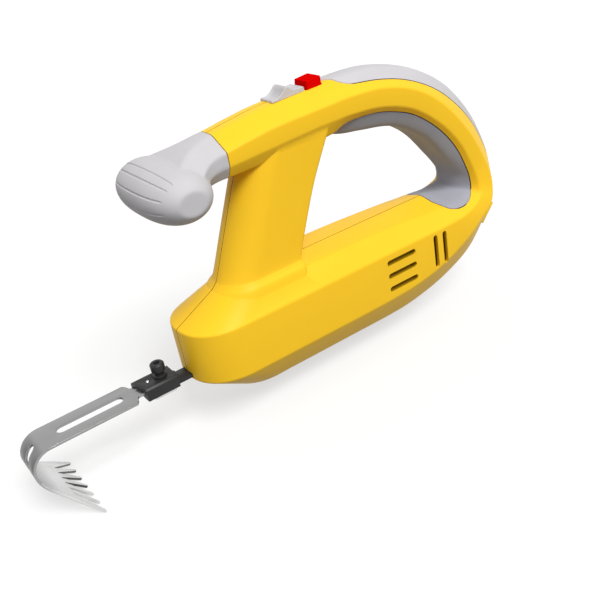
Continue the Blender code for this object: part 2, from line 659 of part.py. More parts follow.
def loop_stations():
    """Sections from the front grip joint along boom and loop to the body.

    Each holds the outer and the inner crease in the mid plane, the half width there,
    the rise and half width of the outer flat, those of the inner flat, and the crown
    of either flat.
    """
    boom, flat, side = BOOM_HALF, BOOM_FLAT_HALF, BODY_HALF
    floor, roof = LOWER_CREASE_Z - FLOOR_Z, ROOF_EDGE_Z - UPPER_CREASE_Z
    rim = UPPER_CREASE_Z
    return [
        (BOOM_FRONT_X, 163.8, BOOM_FRONT_X, 152.8, boom, 10.2, flat, 10.2, 12.5, 0.5, 0.5),
        (150.0, 169.0, 150.0, 154.8, boom, 10.4, flat, 12.4, 13.0, 0.5, 0.5),
        (190.0, 170.4, 190.0, 157.0, boom, 11.2, flat, 15.8, 13.5, 0.5, 0.5),
        (208.0, 170.8, 208.0, 157.2, boom, 11.6, flat, 15.6, 15.0, 0.6, 0.5),
        (225.0, 171.2, 224.0, 157.0, boom, 12.0, flat, 7.0, 20.0, 0.7, 0.5),
        (255.0, 169.0, 251.0, 154.6, boom, 13.5, flat, 5.3, 21.5, 0.9, 0.5),
        (283.0, 161.0, 275.0, 148.0, boom, 15.5, flat, 5.3, 21.5, 1.0, 0.5),
        (308.0, 147.0, 296.0, 137.0, boom, 18.5, flat, 5.3, 21.5, 1.2, 0.5),
        (330.0, 126.0, 320.0, 116.5, boom, 20.5, flat, 5.3, 21.5, 1.2, 0.5),
        (349.0, 101.0, 337.5, 94.0, boom, 20.5, flat, 5.3, 21.5, 1.2, 0.5),
        (362.0, 76.0, 348.5, 71.0, boom, 18.5, flat + 1, 5.3, 21.5, 1.0, 0.5),
        (368.0, 60.0, 352.5, 58.0, boom + 1, 15.5, flat + 2.5, 5.5, 21.5, 0.8, 0.5),
        (368.5, 46.0, 352.5, 48.0, boom + 2.8, 14.0, flat + 5, 6.0, 21.5, 0.6, 1.0),
        (363.0, 33.5, 348.0, 42.5, boom + 6, 15.5, flat + 8, 8.5, 21.0, 0.4, 3.0),
        (347.0, 24.5, 335.0, 37.5, side - 2.3, 20.5, FLOOR_HALF - 4, 10.0, 24.0, 0.3, 7.0),
        (328.0, 13.7, 319.0, 35.0, side - 0.4, 24.5, FLOOR_HALF - 1, 11.0, ROOF_HALF, 0.2, 8.5),
        (304.0, 3.3, 300.0, rim, side, 25.0, FLOOR_HALF, 12.0, ROOF_HALF, 0.1, 7.2),
        (280.0, -3.8, 279.0, rim, side, 24.6, FLOOR_HALF, 13.4, ROOF_HALF, 0.0, 5.6),
        (250.0, -8.0, 250.0, rim, side, 24.6, FLOOR_HALF, 15.0, ROOF_HALF, 0.0, 3.8),
        (206.0, LOWER_CREASE_Z, 206.0, rim, side, floor, FLOOR_HALF, roof, ROOF_HALF, 0.0,
         ROOF_CROWN),
        (NOSE_END_X, LOWER_CREASE_Z, NOSE_END_X, rim, side, floor, FLOOR_HALF, roof, ROOF_HALF,
         0.0, ROOF_CROWN),
    ]


def station_at(stations, place):
    """Smooth blend between neighbouring sections."""
    index = min(int(place), len(stations) - 2)
    t = place - index
    last = len(stations) - 1
    picks = [stations[min(max(index + k, 0), last)] for k in (-1, 0, 1, 2)]
    blended = []
    for a, b, c, d in zip(*picks):
        slope_b, slope_c = (c - a) / 2, (d - b) / 2
        blended.append((2 * t**3 - 3 * t**2 + 1) * b + (t**3 - 2 * t**2 + t) * slope_b
                       + (3 * t**2 - 2 * t**3) * c + (t**3 - t**2) * slope_c)
    return blended


def section_frame(station):
    """Outer and inner crease and the direction from the inner to the outer one."""
    outer = Vector((station[0], 0, station[1]))
    inner = Vector((station[2], 0, station[3]))
    return outer, inner, (outer - inner).normalized()


def section_ring(station, wall):
    """Ten corners of one section, moved inward by the wall."""
    outer, inner, up = section_frame(station)
    half, rise, flat, drop, belly, crown, sag = station[4:]
    side, crease, edge, top = inset_slope(half, flat, rise, wall) if wall else (
        half, 0.0, flat, rise)
    low_side, low_crease, low_edge, low = inset_slope(half, belly, drop, wall) if wall else (
        half, 0.0, belly, drop)
    across = Vector((0, 1, 0))
    right = [outer + up * top + across * edge, outer + up * crease + across * side,
             inner - up * low_crease + across * low_side, inner - up * low + across * low_edge]
    left = [Vector((p.x, -p.y, p.z)) for p in reversed(right)]
    return [outer + up * (top + crown)] + right + [inner - up * (low + sag)] + left


def nose_rails(wall):
    """Outlines of floor, creases and roof round the nose, from side to side."""
    side = BODY_HALF - wall
    _, _, floor_half, _ = inset_slope(BODY_HALF, FLOOR_HALF, LOWER_CREASE_Z - FLOOR_Z, wall)
    _, lower, _, _ = inset_slope(BODY_HALF, FLOOR_HALF, LOWER_CREASE_Z - FLOOR_Z, wall)
    _, upper, roof_half, _ = inset_slope(BODY_HALF, ROOF_HALF, ROOF_EDGE_Z - UPPER_CREASE_Z, wall)
    if not wall:
        floor_half, lower, roof_half, upper = FLOOR_HALF, 0.0, ROOF_HALF, 0.0
    specs = [(86.0 + wall, 32.0, floor_half, FLOOR_Z + wall, 0.0),
             (48.4 + wall, 42.0 - wall, side, LOWER_CREASE_Z - lower, 0.0),
             (48.4 + wall, 42.0 - wall, side, UPPER_CREASE_Z + upper, 0.0),
             (85.0 + wall, 32.0, roof_half, ROOF_EDGE_Z - wall, ROOF_CROWN)]
    steps = 9
    rails = []
    for tip, length, half, height, crown in specs:
        rail = []
        for i in range(-steps, steps + 1):
            angle = math.pi / 2 * abs(i) / steps
            wide = half * math.sin(angle)**(2 / NOSE_POWER)
            back = tip + length * (1 - math.cos(angle)**(2 / NOSE_POWER))
            rise = crown * (1 - (wide / half)**2)
            rail.append(Vector((back, math.copysign(wide, i), height + rise)))
        rail = [Vector((NOSE_END_X, -half, height))] + rail + [Vector((NOSE_END_X, half, height))]
        rails.append(rail)
    crowns = []
    for rail, crown in ((rails[0], 0.0), (rails[-1], ROOF_CROWN)):
        level = rail[0].z + crown
        crowns.append([Vector((p.x, 0.0, level)) for p in rail])
    return [crowns[0]] + rails + [crowns[1]]


def skin_rows(bm, rows, closed):
    """Faces between rows of points, leaving out doubled corners."""
    made = [[bm.verts.new(p) for p in row] for row in rows]
    for lower, upper in zip(made, made[1:]):
        count = len(lower)
        for i in range(count if closed else count - 1):
            j = (i + 1) % count
            corners = []
            for vert in (lower[i], lower[j], upper[j], upper[i]):
                if all((vert.co - c.co).length > 0.001 for c in corners):
                    corners.append(vert)
            if len(corners) > 2:
                bm.faces.new(corners)
    return made


def loop_places(steps):
    """Places of the rings along the stations, closer where the loop turns."""
    last = len(loop_stations()) - 1
    places = []
    for index in range(last):
        count = steps if 4 <= index <= 16 else 1
        places += [index + k / count for k in range(count)]
    return places + [last]


def body_form(name, wall):
    """Boom, loop, body and nose as one closed form."""
    stations = loop_stations()
    bm = bmesh.new()
    rings = [section_ring(station_at(stations, place), wall) for place in loop_places(2)]
    if wall:
        for point in rings[0]:
            point.x -= 5.0
    made = skin_rows(bm, rings, closed=True)
    bm.faces.new(made[0])
    skin_rows(bm, nose_rails(wall), closed=False)
    return add_part(name, bm)


def strut_form(name, wall):
    """Strut with a half elliptical front, rounded rear corners and a flared foot."""
    bm = bmesh.new()
    rows = []
    for height, front, rear, flare in STRUT_RISE:
        grow = flare - wall if not wall else -wall
        half, nose = STRUT_HALF + grow, STRUT_NOSE + grow
        front_at, rear_at, corner = front - grow, rear + grow, 4.5
        side = []
        for i in range(7):
            angle = math.pi / 2 * i / 6
            side.append((front_at + nose * (1 - math.cos(angle)), half * math.sin(angle)))
        for i in range(4):
            angle = math.pi / 2 * i / 3
            side.append((rear_at - corner + corner * math.sin(angle),
                         half - corner + corner * math.cos(angle)))
        mirrored = [(x, -y) for x, y in reversed(side[1:])]
        rows.append([Vector((x, y, height)) for x, y in side + mirrored])
    made = skin_rows(bm, rows, closed=True)
    bm.faces.new(made[0])
    bm.faces.new(made[-1])
    return add_part(name, bm)


def band_station(place):
    """Section that lies on the flats between the housing's own rings."""
    stations = loop_stations()
    places = loop_places(2)
    above = next(k for k in places if k >= place - 1e-6)
    below = max(k for k in places if k <= place + 1e-6)
    share = (place - below) / (above - below) if above > below else 0.0
    low, high = station_at(stations, below), station_at(stations, above)
    return [a + (b - a) * share for a, b in zip(low, high)]


def profile_point(station, across, inside, lift):
    """Point of the outer or inner face at a distance from the parting plane."""
    outer, inner, up = section_frame(station)
    half, rise, flat, drop, belly, crown, sag = station[4:]
    if inside:
        outer, up, rise, flat, crown = inner, -up, drop, belly, sag
    reach = abs(across)
    if reach <= flat:
        height = rise + crown * (1 - reach / flat)
    else:
        height = rise * (half - reach) / (half - flat)
    return outer + up * (height + lift) + Vector((0, across, 0))


def close_band(bm, rows):
    """Skin, end faces and triangles of a band."""
    made = skin_rows(bm, rows, closed=True)
    bm.faces.new(made[0])
    bm.faces.new(made[-1])
    bmesh.ops.recalc_face_normals(bm, faces=bm.faces)
    bmesh.ops.triangulate(bm, faces=bm.faces)
    return bm


def recess_of(bm, gap):
    """Grow a band into the cutter of its recess: each face moves out by the gap."""
    bm.normal_update()
    moves = [vert.normal * gap * min(vert.calc_shell_factor(), 2.5) for vert in bm.verts]
    for vert, move in zip(bm.verts, moves):
        vert.co += move
    return bm


def upper_band():
    """Band flush with the loop's outer face, pointed behind the button."""
    widths = [(3.56, 1.5), (3.7, 4.5), (3.85, 7.5), (4.0, 11.5), (4.25, 15.8), (4.5, 17.6),
              (5.0, 18.6), (5.5, 19.0), (6.0, 19.0), (6.5, 19.0), (7.0, 18.4), (7.5, 17.6),
              (8.0, 16.8), (8.5, 15.6), (9.0, 14.6), (9.5, 13.6), (10.0, 12.8), (10.5, 12.0),
              (11.0, 10.5), (11.4, 8.0), (11.62, 4.0)]
    bm = bmesh.new()
    rows = []
    for place, wide in widths:
        station = band_station(place)
        flat = station[6] if wide > station[6] + 0.2 else wide * 0.6
        spread = [-wide, -flat, 0.0, flat, wide]
        rows.append([profile_point(station, y, False, 0.0) for y in spread]
                    + [profile_point(station, y, False, -GRIP_DEPTH) for y in reversed(spread)])
    return close_band(bm, rows)


INNER_GRIP = [
    (3.05, 3.5, 207.0, 140.0), (3.3, 7.5, 212.5, 139.2), (3.6, 11.0, 218.0, 138.6),
    (4.0, 15.0, 224.0, 138.2), (4.25, 17.8, 230.0, 138.0), (4.5, 19.4, 236.0, 137.6),
    (5.0, 20.6, 246.5, 136.0), (5.5, 21.1, 258.5, 134.2), (6.0, 21.3, 271.0, 131.0),
    (6.5, 21.8, 282.0, 126.0), (7.0, 22.2, 292.0, 120.0), (7.5, 22.5, 301.5, 113.0),
    (8.0, 22.5, 310.0, 105.0), (8.5, 22.4, 318.0, 95.5), (9.0, 22.2, 325.5, 85.7),
    (9.5, 22.0, 332.5, 76.0), (10.0, 21.8, 337.3, 68.0), (10.5, 21.7, 339.5, 63.5),
    (11.0, 21.6, 339.7, 60.0), (11.5, 21.6, 338.6, 57.2), (12.0, 22.0, 336.6, 55.4),
    (12.5, 23.0, 334.0, 54.4), (13.0, 25.0, 331.0, 53.9), (13.5, 28.0, 326.0, 53.6),
    (14.0, 30.0, 320.0, 53.5), (14.5, 30.2, 315.5, 53.6), (15.0, 28.0, 310.8, 53.8),
    (15.2, 24.0, 308.0, 53.8), (15.4, 14.0, 305.4, 53.8),
]


def inner_band():
    """Cushion on the loop's inner face that ends as a lip on the body's roof."""
    bm = bmesh.new()
    rows = []
    for place, wide, x, z in INNER_GRIP:
        station = band_station(place)
        edge = profile_point(station, wide, True, 0.0)
        foot = Vector((edge.x, 0, edge.z))
        rise = Vector((x, 0, z)) - foot
        power = 2.0 if place < 12 else 2.0 + 1.6 * min((place - 12) / 2, 1.0)
        front = []
        for share in (-1, -0.93, -0.78, -0.45, 0, 0.45, 0.78, 0.93, 1):
            swell = (1 - abs(share)**power)**(1 / power)
            front.append(foot + rise * swell + Vector((0, share * wide, 0)))
        belly = station[8] if wide > station[8] + 0.2 else wide * 0.75
        back = [wide, belly, 0.0, -belly, -wide]
        rows.append(front + [profile_point(station, y, True, -GRIP_DEPTH) for y in back])
    return close_band(bm, rows)


def make_grips(grey, dark_grey):
    """Soft inlays that lie in the recesses of the handle loop."""
    upper = shade_round(add_part("upper_grip", upper_band(), grey))
    inner = shade_round(add_part("inner_grip", inner_band(), dark_grey), 50)
    return upper, inner


def power_scale(value, power):
    """Signed power, for superellipse forms."""
    return math.copysign(abs(value)**power, value)


def neck_ring(row):
    """Ten corners of one section of the front grip's neck."""
    x, half, upper, lower, flat, top, belly, bottom = row
    right = [(x, flat, top), (x, half, upper), (x, half, lower), (x, belly, bottom)]
    left = [(x, -y, z) for x, y, z in reversed(right)]
    return [Vector(p) for p in [(x, 0.0, top + 0.5)] + right + [(x, 0.0, bottom - 0.5)] + left]


def grip_bar():
    """Superellipsoid across the tool, its ends cut flat."""
    bm = bmesh.new()
    bmesh.ops.create_uvsphere(bm, u_segments=24, v_segments=14, radius=1.0)
    for vert in bm.verts:
        lean = math.asin(max(-1.0, min(1.0, vert.co.z)))
        turn = math.atan2(vert.co.y, vert.co.x)
        ring = power_scale(math.cos(lean), 0.77)
        vert.co = BAR_CENTRE + Vector((BAR_SIZE[0] * power_scale(math.cos(turn), 1.03) * ring,
                                       BAR_SIZE[1] * power_scale(math.sin(lean), 0.77),
                                       BAR_SIZE[2] * power_scale(math.sin(turn), 1.03) * ring))
    for side in (-1, 1):
        parts = list(bm.verts) + list(bm.edges) + list(bm.faces)
        cut_at = bmesh.ops.bisect_plane(bm, geom=parts, dist=0.0001, clear_outer=True,
                                        plane_co=(0, side * GRIP_HALF, 0), plane_no=(0, side, 0))
        rim = [g for g in cut_at["geom_cut"] if isinstance(g, bmesh.types.BMEdge)]
        bmesh.ops.edgeloop_fill(bm, edges=rim)
    return bm


def make_front_grip(skin):
    """Cross handle: the bar, the neck to the boom and a spigot inside the boom."""
    bar = add_part("front_grip", grip_bar(), skin)
    joint = [Vector((p.x - FIT_GAP, p.y, p.z)) for p in section_ring(loop_stations()[0], 0.0)]
    neck = bmesh.new()
    made = skin_rows(neck, [joint] + [neck_ring(row) for row in NECK_ROWS], closed=True)
    neck.faces.new(made[0])
    neck.faces.new(made[-1])
    spigot = bmesh.new()
    rows = [section_ring(band_station(place), WALL + FIT_GAP) for place in (0.0, 0.4)]
    for point in rows[0]:
        point.x -= 5.0
    made = skin_rows(spigot, rows, closed=True)
    spigot.faces.new(made[0])
    spigot.faces.new(made[-1])
    join(bar, tool(neck), tool(spigot))
    where = (GRIP_SCREW[0], 0, GRIP_SCREW[1])
    cut(bar, tool(cylinder(SCREW_RADIUS + FIT_GAP, 6.0, 40, where, "Y", 10)))
    return shade_round(bar, 40)


def switch_profile():
    """Side outline of the slide: scooped front, crest and low rear pad."""
    front, rear = 166.0, 196.0
    return [(front, boom_top(front) + FIT_GAP), (front + 0.4, 182.0), (169.5, 183.0),
            (173.5, 185.0), (177.5, 187.6), (180.4, 189.3), (182.2, 189.1), (183.6, 187.2),
            (185.2, 185.4), (188.0, 184.6), (rear - 0.6, 185.0), (rear, 184.2),
            (rear, boom_top(rear) + FIT_GAP)]


def boom_top(x):
    """Height of the boom's crown at a place between its second and third station."""
    a, b = loop_stations()[1], loop_stations()[2]
    heights = [k[1] + k[5] + k[9] for k in (a, b)]
    return heights[0] + (heights[1] - heights[0]) * (x - a[0]) / (b[0] - a[0])


def make_slide_switch(skin):
    """Sliding thumb piece whose stem and foot hold it in the boom's slot."""
    outline = [(x, -8.4, z) for x, z in switch_profile()]
    slide = add_part("slide_switch", extruded(outline, (0, 16.8, 0)), skin)
    stem = box((STEM_X[0], -STEM_HALF, 174.0), (STEM_X[1], STEM_HALF, 183.0))
    foot = box((STEM_X[0] - 2, -STEM_HALF - 2.5, 172.0), (STEM_X[1] + 2, STEM_HALF + 2.5, 176.0))
    join(slide, tool(stem), tool(foot))
    return slide


def make_lock_button(skin):
    """Hollow push button with a flange that stays below the boom's wall."""
    low, high = BUTTON_X
    cap = rounded_box((low, -BUTTON_HALF, 175.4), (high, BUTTON_HALF, BUTTON_TOP), 1.5)
    top = [e for e in cap.edges if min(v.co.z for v in e.verts) > BUTTON_TOP - 0.01]
    bmesh.ops.bevel(cap, geom=top, offset=0.8, segments=2, profile=0.5, affect="EDGES",
                    material=-1)
    button = add_part("lock_button", cap, skin)
    join(button, tool(box((low - 1.6, -8.6, 175.0), (high + 1.6, 8.6, 176.8))))
    pocket = cylinder(SPRING_RADIUS + SPRING_WIRE + 0.5, 170, SPRING_Z[1] + FIT_GAP,
                      (SPRING_X, 0, 0), steps=20)
    cut(button, tool(pocket))
    return button


def make_lock_spring(skin):
    """Compression spring swept along a helix with closed ends."""
    curve = bpy.data.curves.new("lock_spring", "CURVE")
    curve.dimensions = "3D"
    curve.bevel_depth = SPRING_WIRE * MM
    curve.bevel_resolution = 1
    curve.resolution_u = 1
    curve.use_fill_caps = True
    line = curve.splines.new("POLY")
    count = 10 * SPRING_TURNS
    line.points.add(count)
    low, high = SPRING_Z[0] + SPRING_WIRE, SPRING_Z[1] - SPRING_WIRE
    for i, point in enumerate(line.points):
        angle = math.tau * SPRING_TURNS * i / count
        place = Vector((SPRING_X + SPRING_RADIUS * math.cos(angle),
                        SPRING_RADIUS * math.sin(angle), low + (high - low) * i / count))
        point.co = (*((place - DATUM) * MM), 1.0)
    coil = bpy.data.objects.new("lock_spring", curve)
    bpy.context.scene.collection.objects.link(coil)
    bpy.context.view_layer.update()
    mesh = bpy.data.meshes.new_from_object(coil)
    bpy.data.objects.remove(coil)
    bm = bmesh.new()
    bm.from_mesh(mesh)
    bmesh.ops.remove_doubles(bm, verts=bm.verts, dist=0.01 * MM)
    bm.to_mesh(mesh)
    bm.free()
    made = bpy.data.objects.new("lock_spring", mesh)
    bpy.context.scene.collection.objects.link(made)
    mesh.materials.clear()
    mesh.materials.append(skin)
    mesh.shade_smooth()
    pitch = (high - low) / SPRING_TURNS
    print(f"lock_spring least self gap {pitch - 2 * SPRING_WIRE:.2f} mm")
    return made


def make_switch_module(skin):
    """Switch body with the lever that the slide moves and a post in the spring."""
    body = rounded_box((MODULE_X[0], -MODULE_HALF, MODULE_Z[0]),
                       (MODULE_X[1], MODULE_HALF, MODULE_Z[1]), 1.0)
    module = add_part("switch_module", body, skin)
    post = cylinder(2.3, MODULE_Z[1] - 0.5, 171.0, (SPRING_X, 0, 0), steps=16)
    lever = box((180.0, -2.0, MODULE_Z[1] - 0.5), (182.0, 2.0, 171.4))
    join(module, tool(post), tool(lever))
    return module


def make_battery(holder_skin, cell_skin, board_skin, metal):
    """Holder on the floor, three cells in it and the control board above."""
    floor = FLOOR_Z + WALL + 2 * FIT_GAP
    low, high = CELL_X
    plate = add_part("battery_holder", box((low - 4.5, -19.0, floor), (high + 4.5, 19.0, -27.4)),
                     holder_skin)
    added = []
    for start, end in ((low - 4.5, low - FIT_GAP), (high + FIT_GAP, high + 4.5)):
        added.append(box((start, -18.5, floor + 0.5), (end, 18.5, -4.0)))
        added.append(box((start, -9.5, -6.0), (end, 9.5, 11.2)))
    join(plate, *[tool(bm) for bm in added])
    ease = CELL_RADIUS + FIT_GAP
    grooves = [cylinder(ease, low - 0.2, high + 0.2, (0, y, z), "X", 24)
               for y, z in CELL_PLACES[:2]]
    cut(plate, *[tool(bm) for bm in grooves])
    for index, (y, z) in enumerate(CELL_PLACES):
        body = [(0, low), (CELL_RADIUS, low), (CELL_RADIUS, high - 3.4),
                (CELL_RADIUS - 0.5, high - 3.0), (CELL_RADIUS - 0.5, high - 2.4),
                (CELL_RADIUS, high - 2.0), (CELL_RADIUS, high - 1.2), (3.2, high - 1.2),
                (3.2, high), (0, high)]
        shade_round(add_part(f"battery_cell_{index + 1}", turned(body, (0, y, z), "X", 16),
                             cell_skin))
    board = add_part("control_board", box((low - 3, -20, 11.5), (high + 3, 20, 13.1)), board_skin)
    chips = [box((188, -14, 13.0), (202, -2, 15.4)), box((215, 2, 13.0), (227, 14, 16.0)),
             box((232, -12, 13.0), (242, -4, 15.0)), cylinder(4.0, 13.0, 21.0, (200, 10, 0)),
             cylinder(4.0, 13.0, 21.0, (210, -9, 0))]
    join(board, *[tool(bm) for bm in chips])
    return plate


def socket_place(along, across, out):
    """Point at the charging socket: up the slanted face, sideways and outward."""
    base = Vector((SOCKET[0], 0.0, SOCKET[1]))
    return base + SOCKET_ALONG * along + SOCKET_OUT * out + Vector((0, across, 0))


def socket_box(low, high):
    """Box aligned with the slanted rear face."""
    corners = [(low[0], low[1]), (high[0], low[1]), (high[0], high[1]), (low[0], high[1])]
    outline = [socket_place(a, b, low[2]) for a, b in corners]
    return extruded(outline, SOCKET_OUT * (high[2] - low[2]))


def socket_turned(profile, steps=16):
    """Turned form that points straight out of the slanted face."""
    bm = turned(profile, (0, 0, 0), "Z", steps)
    lean = Vector((0, 0, 1)).rotation_difference(SOCKET_OUT).to_matrix().to_4x4()
    bmesh.ops.transform(bm, verts=bm.verts,
                        matrix=Matrix.Translation(socket_place(0, 0, 0)) @ lean)
    return bm


def socket_barrel(radius, low, high, steps=16):
    """Cylinder on the cover's hinge line."""
    centre = socket_place(HINGE_DROP, 0, HINGE_OUT)
    return cylinder(radius, low, high, centre, "Y", steps)


def make_charge_parts(cover_skin, socket_skin, pin_skin):
    """Socket, hinge pin and the padded cover that swings down."""
    body = add_part("charge_socket", socket_box((-5.2, -8.0, -15.0), (5.2, 8.0, -0.6)),
                    socket_skin)
    jack = [(JACK_PIN, -9.0), (JACK_RADIUS, -9.0), (JACK_RADIUS, 2.0), (0, 2.0), (0, -2.0),
            (JACK_PIN - 0.4, -2.0), (JACK_PIN, -2.4)]
    cut(body, tool(socket_turned(jack)))
    pivot = socket_place(HINGE_DROP, 0, HINGE_OUT)
    face = COVER_HALF
    pad = socket_box((-COVER_REACH, -face, 0.9), (COVER_REACH, face, COVER_THICK))
    outer = [e for e in pad.edges
             if all((v.co - socket_place(0, 0, 0)).dot(SOCKET_OUT) > 2.0 for v in e.verts)]
    bmesh.ops.bevel(pad, geom=outer, offset=3.2, segments=3, profile=0.5, affect="EDGES",
                    material=-1)
    cover = add_part("charge_port_cover", pad, cover_skin, pivot=pivot)
    added = [socket_barrel(2.2, -5.7, 5.7),
             socket_box((HINGE_DROP, -5.7, 2.0), (-COVER_REACH + 2.0, 5.7, 4.4))]
    join(cover, *[add_part("tool", bm, pivot=pivot) for bm in added])
    cut(cover, add_part("tool", socket_barrel(1.0 + FIT_GAP, -8, 8, 14), pivot=pivot))
    shade_round(cover)
    shade_round(add_part("cover_hinge_pin", socket_barrel(1.0, -9.5, 9.5, 14), pin_skin))


def make_housing(skin):
    """Left and right half shells with bosses, vents and openings."""
    form = join(body_form("housing", 0.0), strut_form("tool", 0.0))
    hollow = join(body_form("hollow", WALL), strut_form("tool", WALL))
    cut(form, hollow)
    added = housing_ribs(form)
    for x, z in HOUSING_SCREWS:
        reach = boss_reach(form, x, z)
        added.append(cylinder(BOSS_RADIUS, -reach, reach, (x, 0, z), "Y", 12))
    join(form, *[tool(bm) for bm in added])
    ring = cylinder(MOTOR_RADIUS + FIT_GAP, 14, 90, (MOTOR_X, 0, 0), steps=24)
    cut(form, tool(ring), tool(pocket(*FRONT_GUIDE)), tool(pocket(*NOSE_SEAL)),
        tool(recess_of(upper_band(), RECESS_GAP)), tool(recess_of(inner_band(), RECESS_GAP)))
    left = form
    right = bpy.data.objects.new("right_housing", form.data.copy())
    bpy.context.scene.collection.objects.link(right)
    left.name = "left_housing"
    reach = 60.0
    parting = PART_GAP / 2
    cut(left, tool(box((0, -parting, -60), (420, reach, 220))), *housing_tools(-1))
    cut(right, tool(box((0, -reach, -60), (420, parting, 220))), *housing_tools(1))
    for half in (left, right):
        half.data.materials.clear()
        half.data.materials.append(skin)
    return left, right


def pocket(low, high):
    """Cutter that leaves the fit gap round a seated block."""
    ease = Vector((FIT_GAP, FIT_GAP, FIT_GAP))
    return box(Vector(low) - ease, Vector(high) + ease)


def skin_at(form, x, z):
    """Distance of the outer face from the mid plane."""
    start = (Vector((x, 2 * BODY_HALF, z)) - DATUM) * MM
    depsgraph = bpy.context.evaluated_depsgraph_get()
    _, place, _, _ = form.ray_cast(start, (0, -1, 0), depsgraph=depsgraph)
    return place.y / MM


def boss_reach(form, x, z):
    """Half length of a screw boss that ends inside both walls."""
    rim = [(x + BOSS_RADIUS * math.cos(a), z + BOSS_RADIUS * math.sin(a))
           for a in (math.tau * k / 8 for k in range(8))]
    return min(skin_at(form, *place) for place in rim) - BOSS_SINK


def housing_ribs(form):
    """Ribs that hold guide, seal, motor and switch module, and the cover's lugs."""
    ribs = []
    nose = skin_at(form, FRONT_GUIDE[0][0] - 2.5, LOWER_CREASE_Z) - BOSS_SINK
    for side in (-1, 1):
        near, far = sorted((side * 11.0, side * nose))
        low, high = FRONT_GUIDE
        ribs.append(box((low[0] - 2.5, near, low[2] + 2), (high[0] + 2.5, far, high[2] - 2)))
        near, far = sorted((side * (BAR_HALF + 1.2), side * 14.0))
        low, high = NOSE_SEAL
        ribs.append(box((low[0] - 2.5, near, low[2] + 1), (high[0] + 2.0, far, high[2] - 1)))
        for low in (171.0, 207.0):
            near, far = sorted((side * (MODULE_HALF + FIT_GAP), side * (BOOM_HALF - 1.7)))
            ribs.append(box((low, near, 152.0), (low + 2.5, far, 164.0)))
        near, far = sorted((side * 13.0, side * (BODY_HALF - 1.5)))
        ribs.append(box((MOTOR_X - 14, near, 28.0), (MOTOR_X + 14, far, 30.5)))
        near, far = sorted((side * 5.9, side * 8.9))
        ribs.append(socket_barrel(2.4, near, far))
        lug = socket_box((HINGE_DROP - 2.4, near, -1.0), (HINGE_DROP + 2.4, far, HINGE_OUT))
        ribs.append(lug)
    return ribs


def housing_tools(side):
    """Cutters of one half: vents, nose slot, screw holes, recesses, openings."""
    taken = []
    for z in VENT_LEVELS:
        outline = slot_outline(*VENT_ENDS, VENT_HALF,
                               lambda a, b: (a, side * (BODY_HALF - VENT_DEPTH), z + b), 3)
        taken.append(extruded(outline, (0, side * 6, 0)))
    for x in AIR_SLOTS:
        outline = slot_outline(*AIR_SLOT_ENDS, AIR_SLOT_HALF,
                               lambda a, b: (x + b, side * (BODY_HALF - 8.3), a), 4)
        taken.append(extruded(outline, (0, side * 12, 0)))
    slot = (BAR_HALF + 1.0, BAR_HIGH + 0.7)
    taken.append(box((44, -slot[0], BAR_LOW - 0.7), (60, slot[0], slot[1])))
    for index, (x, z) in enumerate(HOUSING_SCREWS):
        taken.append(cylinder(SCREW_RADIUS + FIT_GAP, -11.5, 40, (x, 0, z), "Y", 10))
        if side > 0:
            seat = head_seat(index)
            taken.append(cylinder(COUNTERBORE, seat, BODY_HALF + 6, (x, 0, z), "Y", 12))
    taken.append(box((STEM_X[0] - SWITCH_TRAVEL - 0.5, -STEM_HALF - 0.4, 170),
                     (STEM_X[1] + 0.5, STEM_HALF + 0.4, 190)))
    taken.append(box((BUTTON_X[0] - FIT_GAP, -BUTTON_HALF - FIT_GAP, 172),
                     (BUTTON_X[1] + FIT_GAP, BUTTON_HALF + FIT_GAP, 195)))
    taken.append(socket_box((-5.5, -8.3, -9.0), (5.5, 8.3, 8.0)))
    taken.append(socket_barrel(1.0 + FIT_GAP, -9.8, 9.8, 14))
    if side > 0:
        where = (GRIP_SCREW[0], 0, GRIP_SCREW[1])
        taken.append(cylinder(SCREW_RADIUS + FIT_GAP, 20, 40, where, "Y", 10))
        taken.append(cylinder(COUNTERBORE, GRIP_SEAT, BODY_HALF + 6, where, "Y", 12))
    return [tool(bm) for bm in taken]


def head_seat(index):
    """Distance of a screw head's seat from the parting plane."""
    return BODY_SEAT if index < 3 else LOOP_SEAT


def make_housing_screws(skin):
    """Screws from the far side into the near half's bosses."""
    for index, (x, z) in enumerate(HOUSING_SCREWS):
        seat = head_seat(index) + FIT_GAP
        make_screw(f"housing_screw_{index + 1}", SCREW_RADIUS, 3.0, -11.0, seat, seat + 2.4,
                   (x, 0, z), skin, axis="Y")


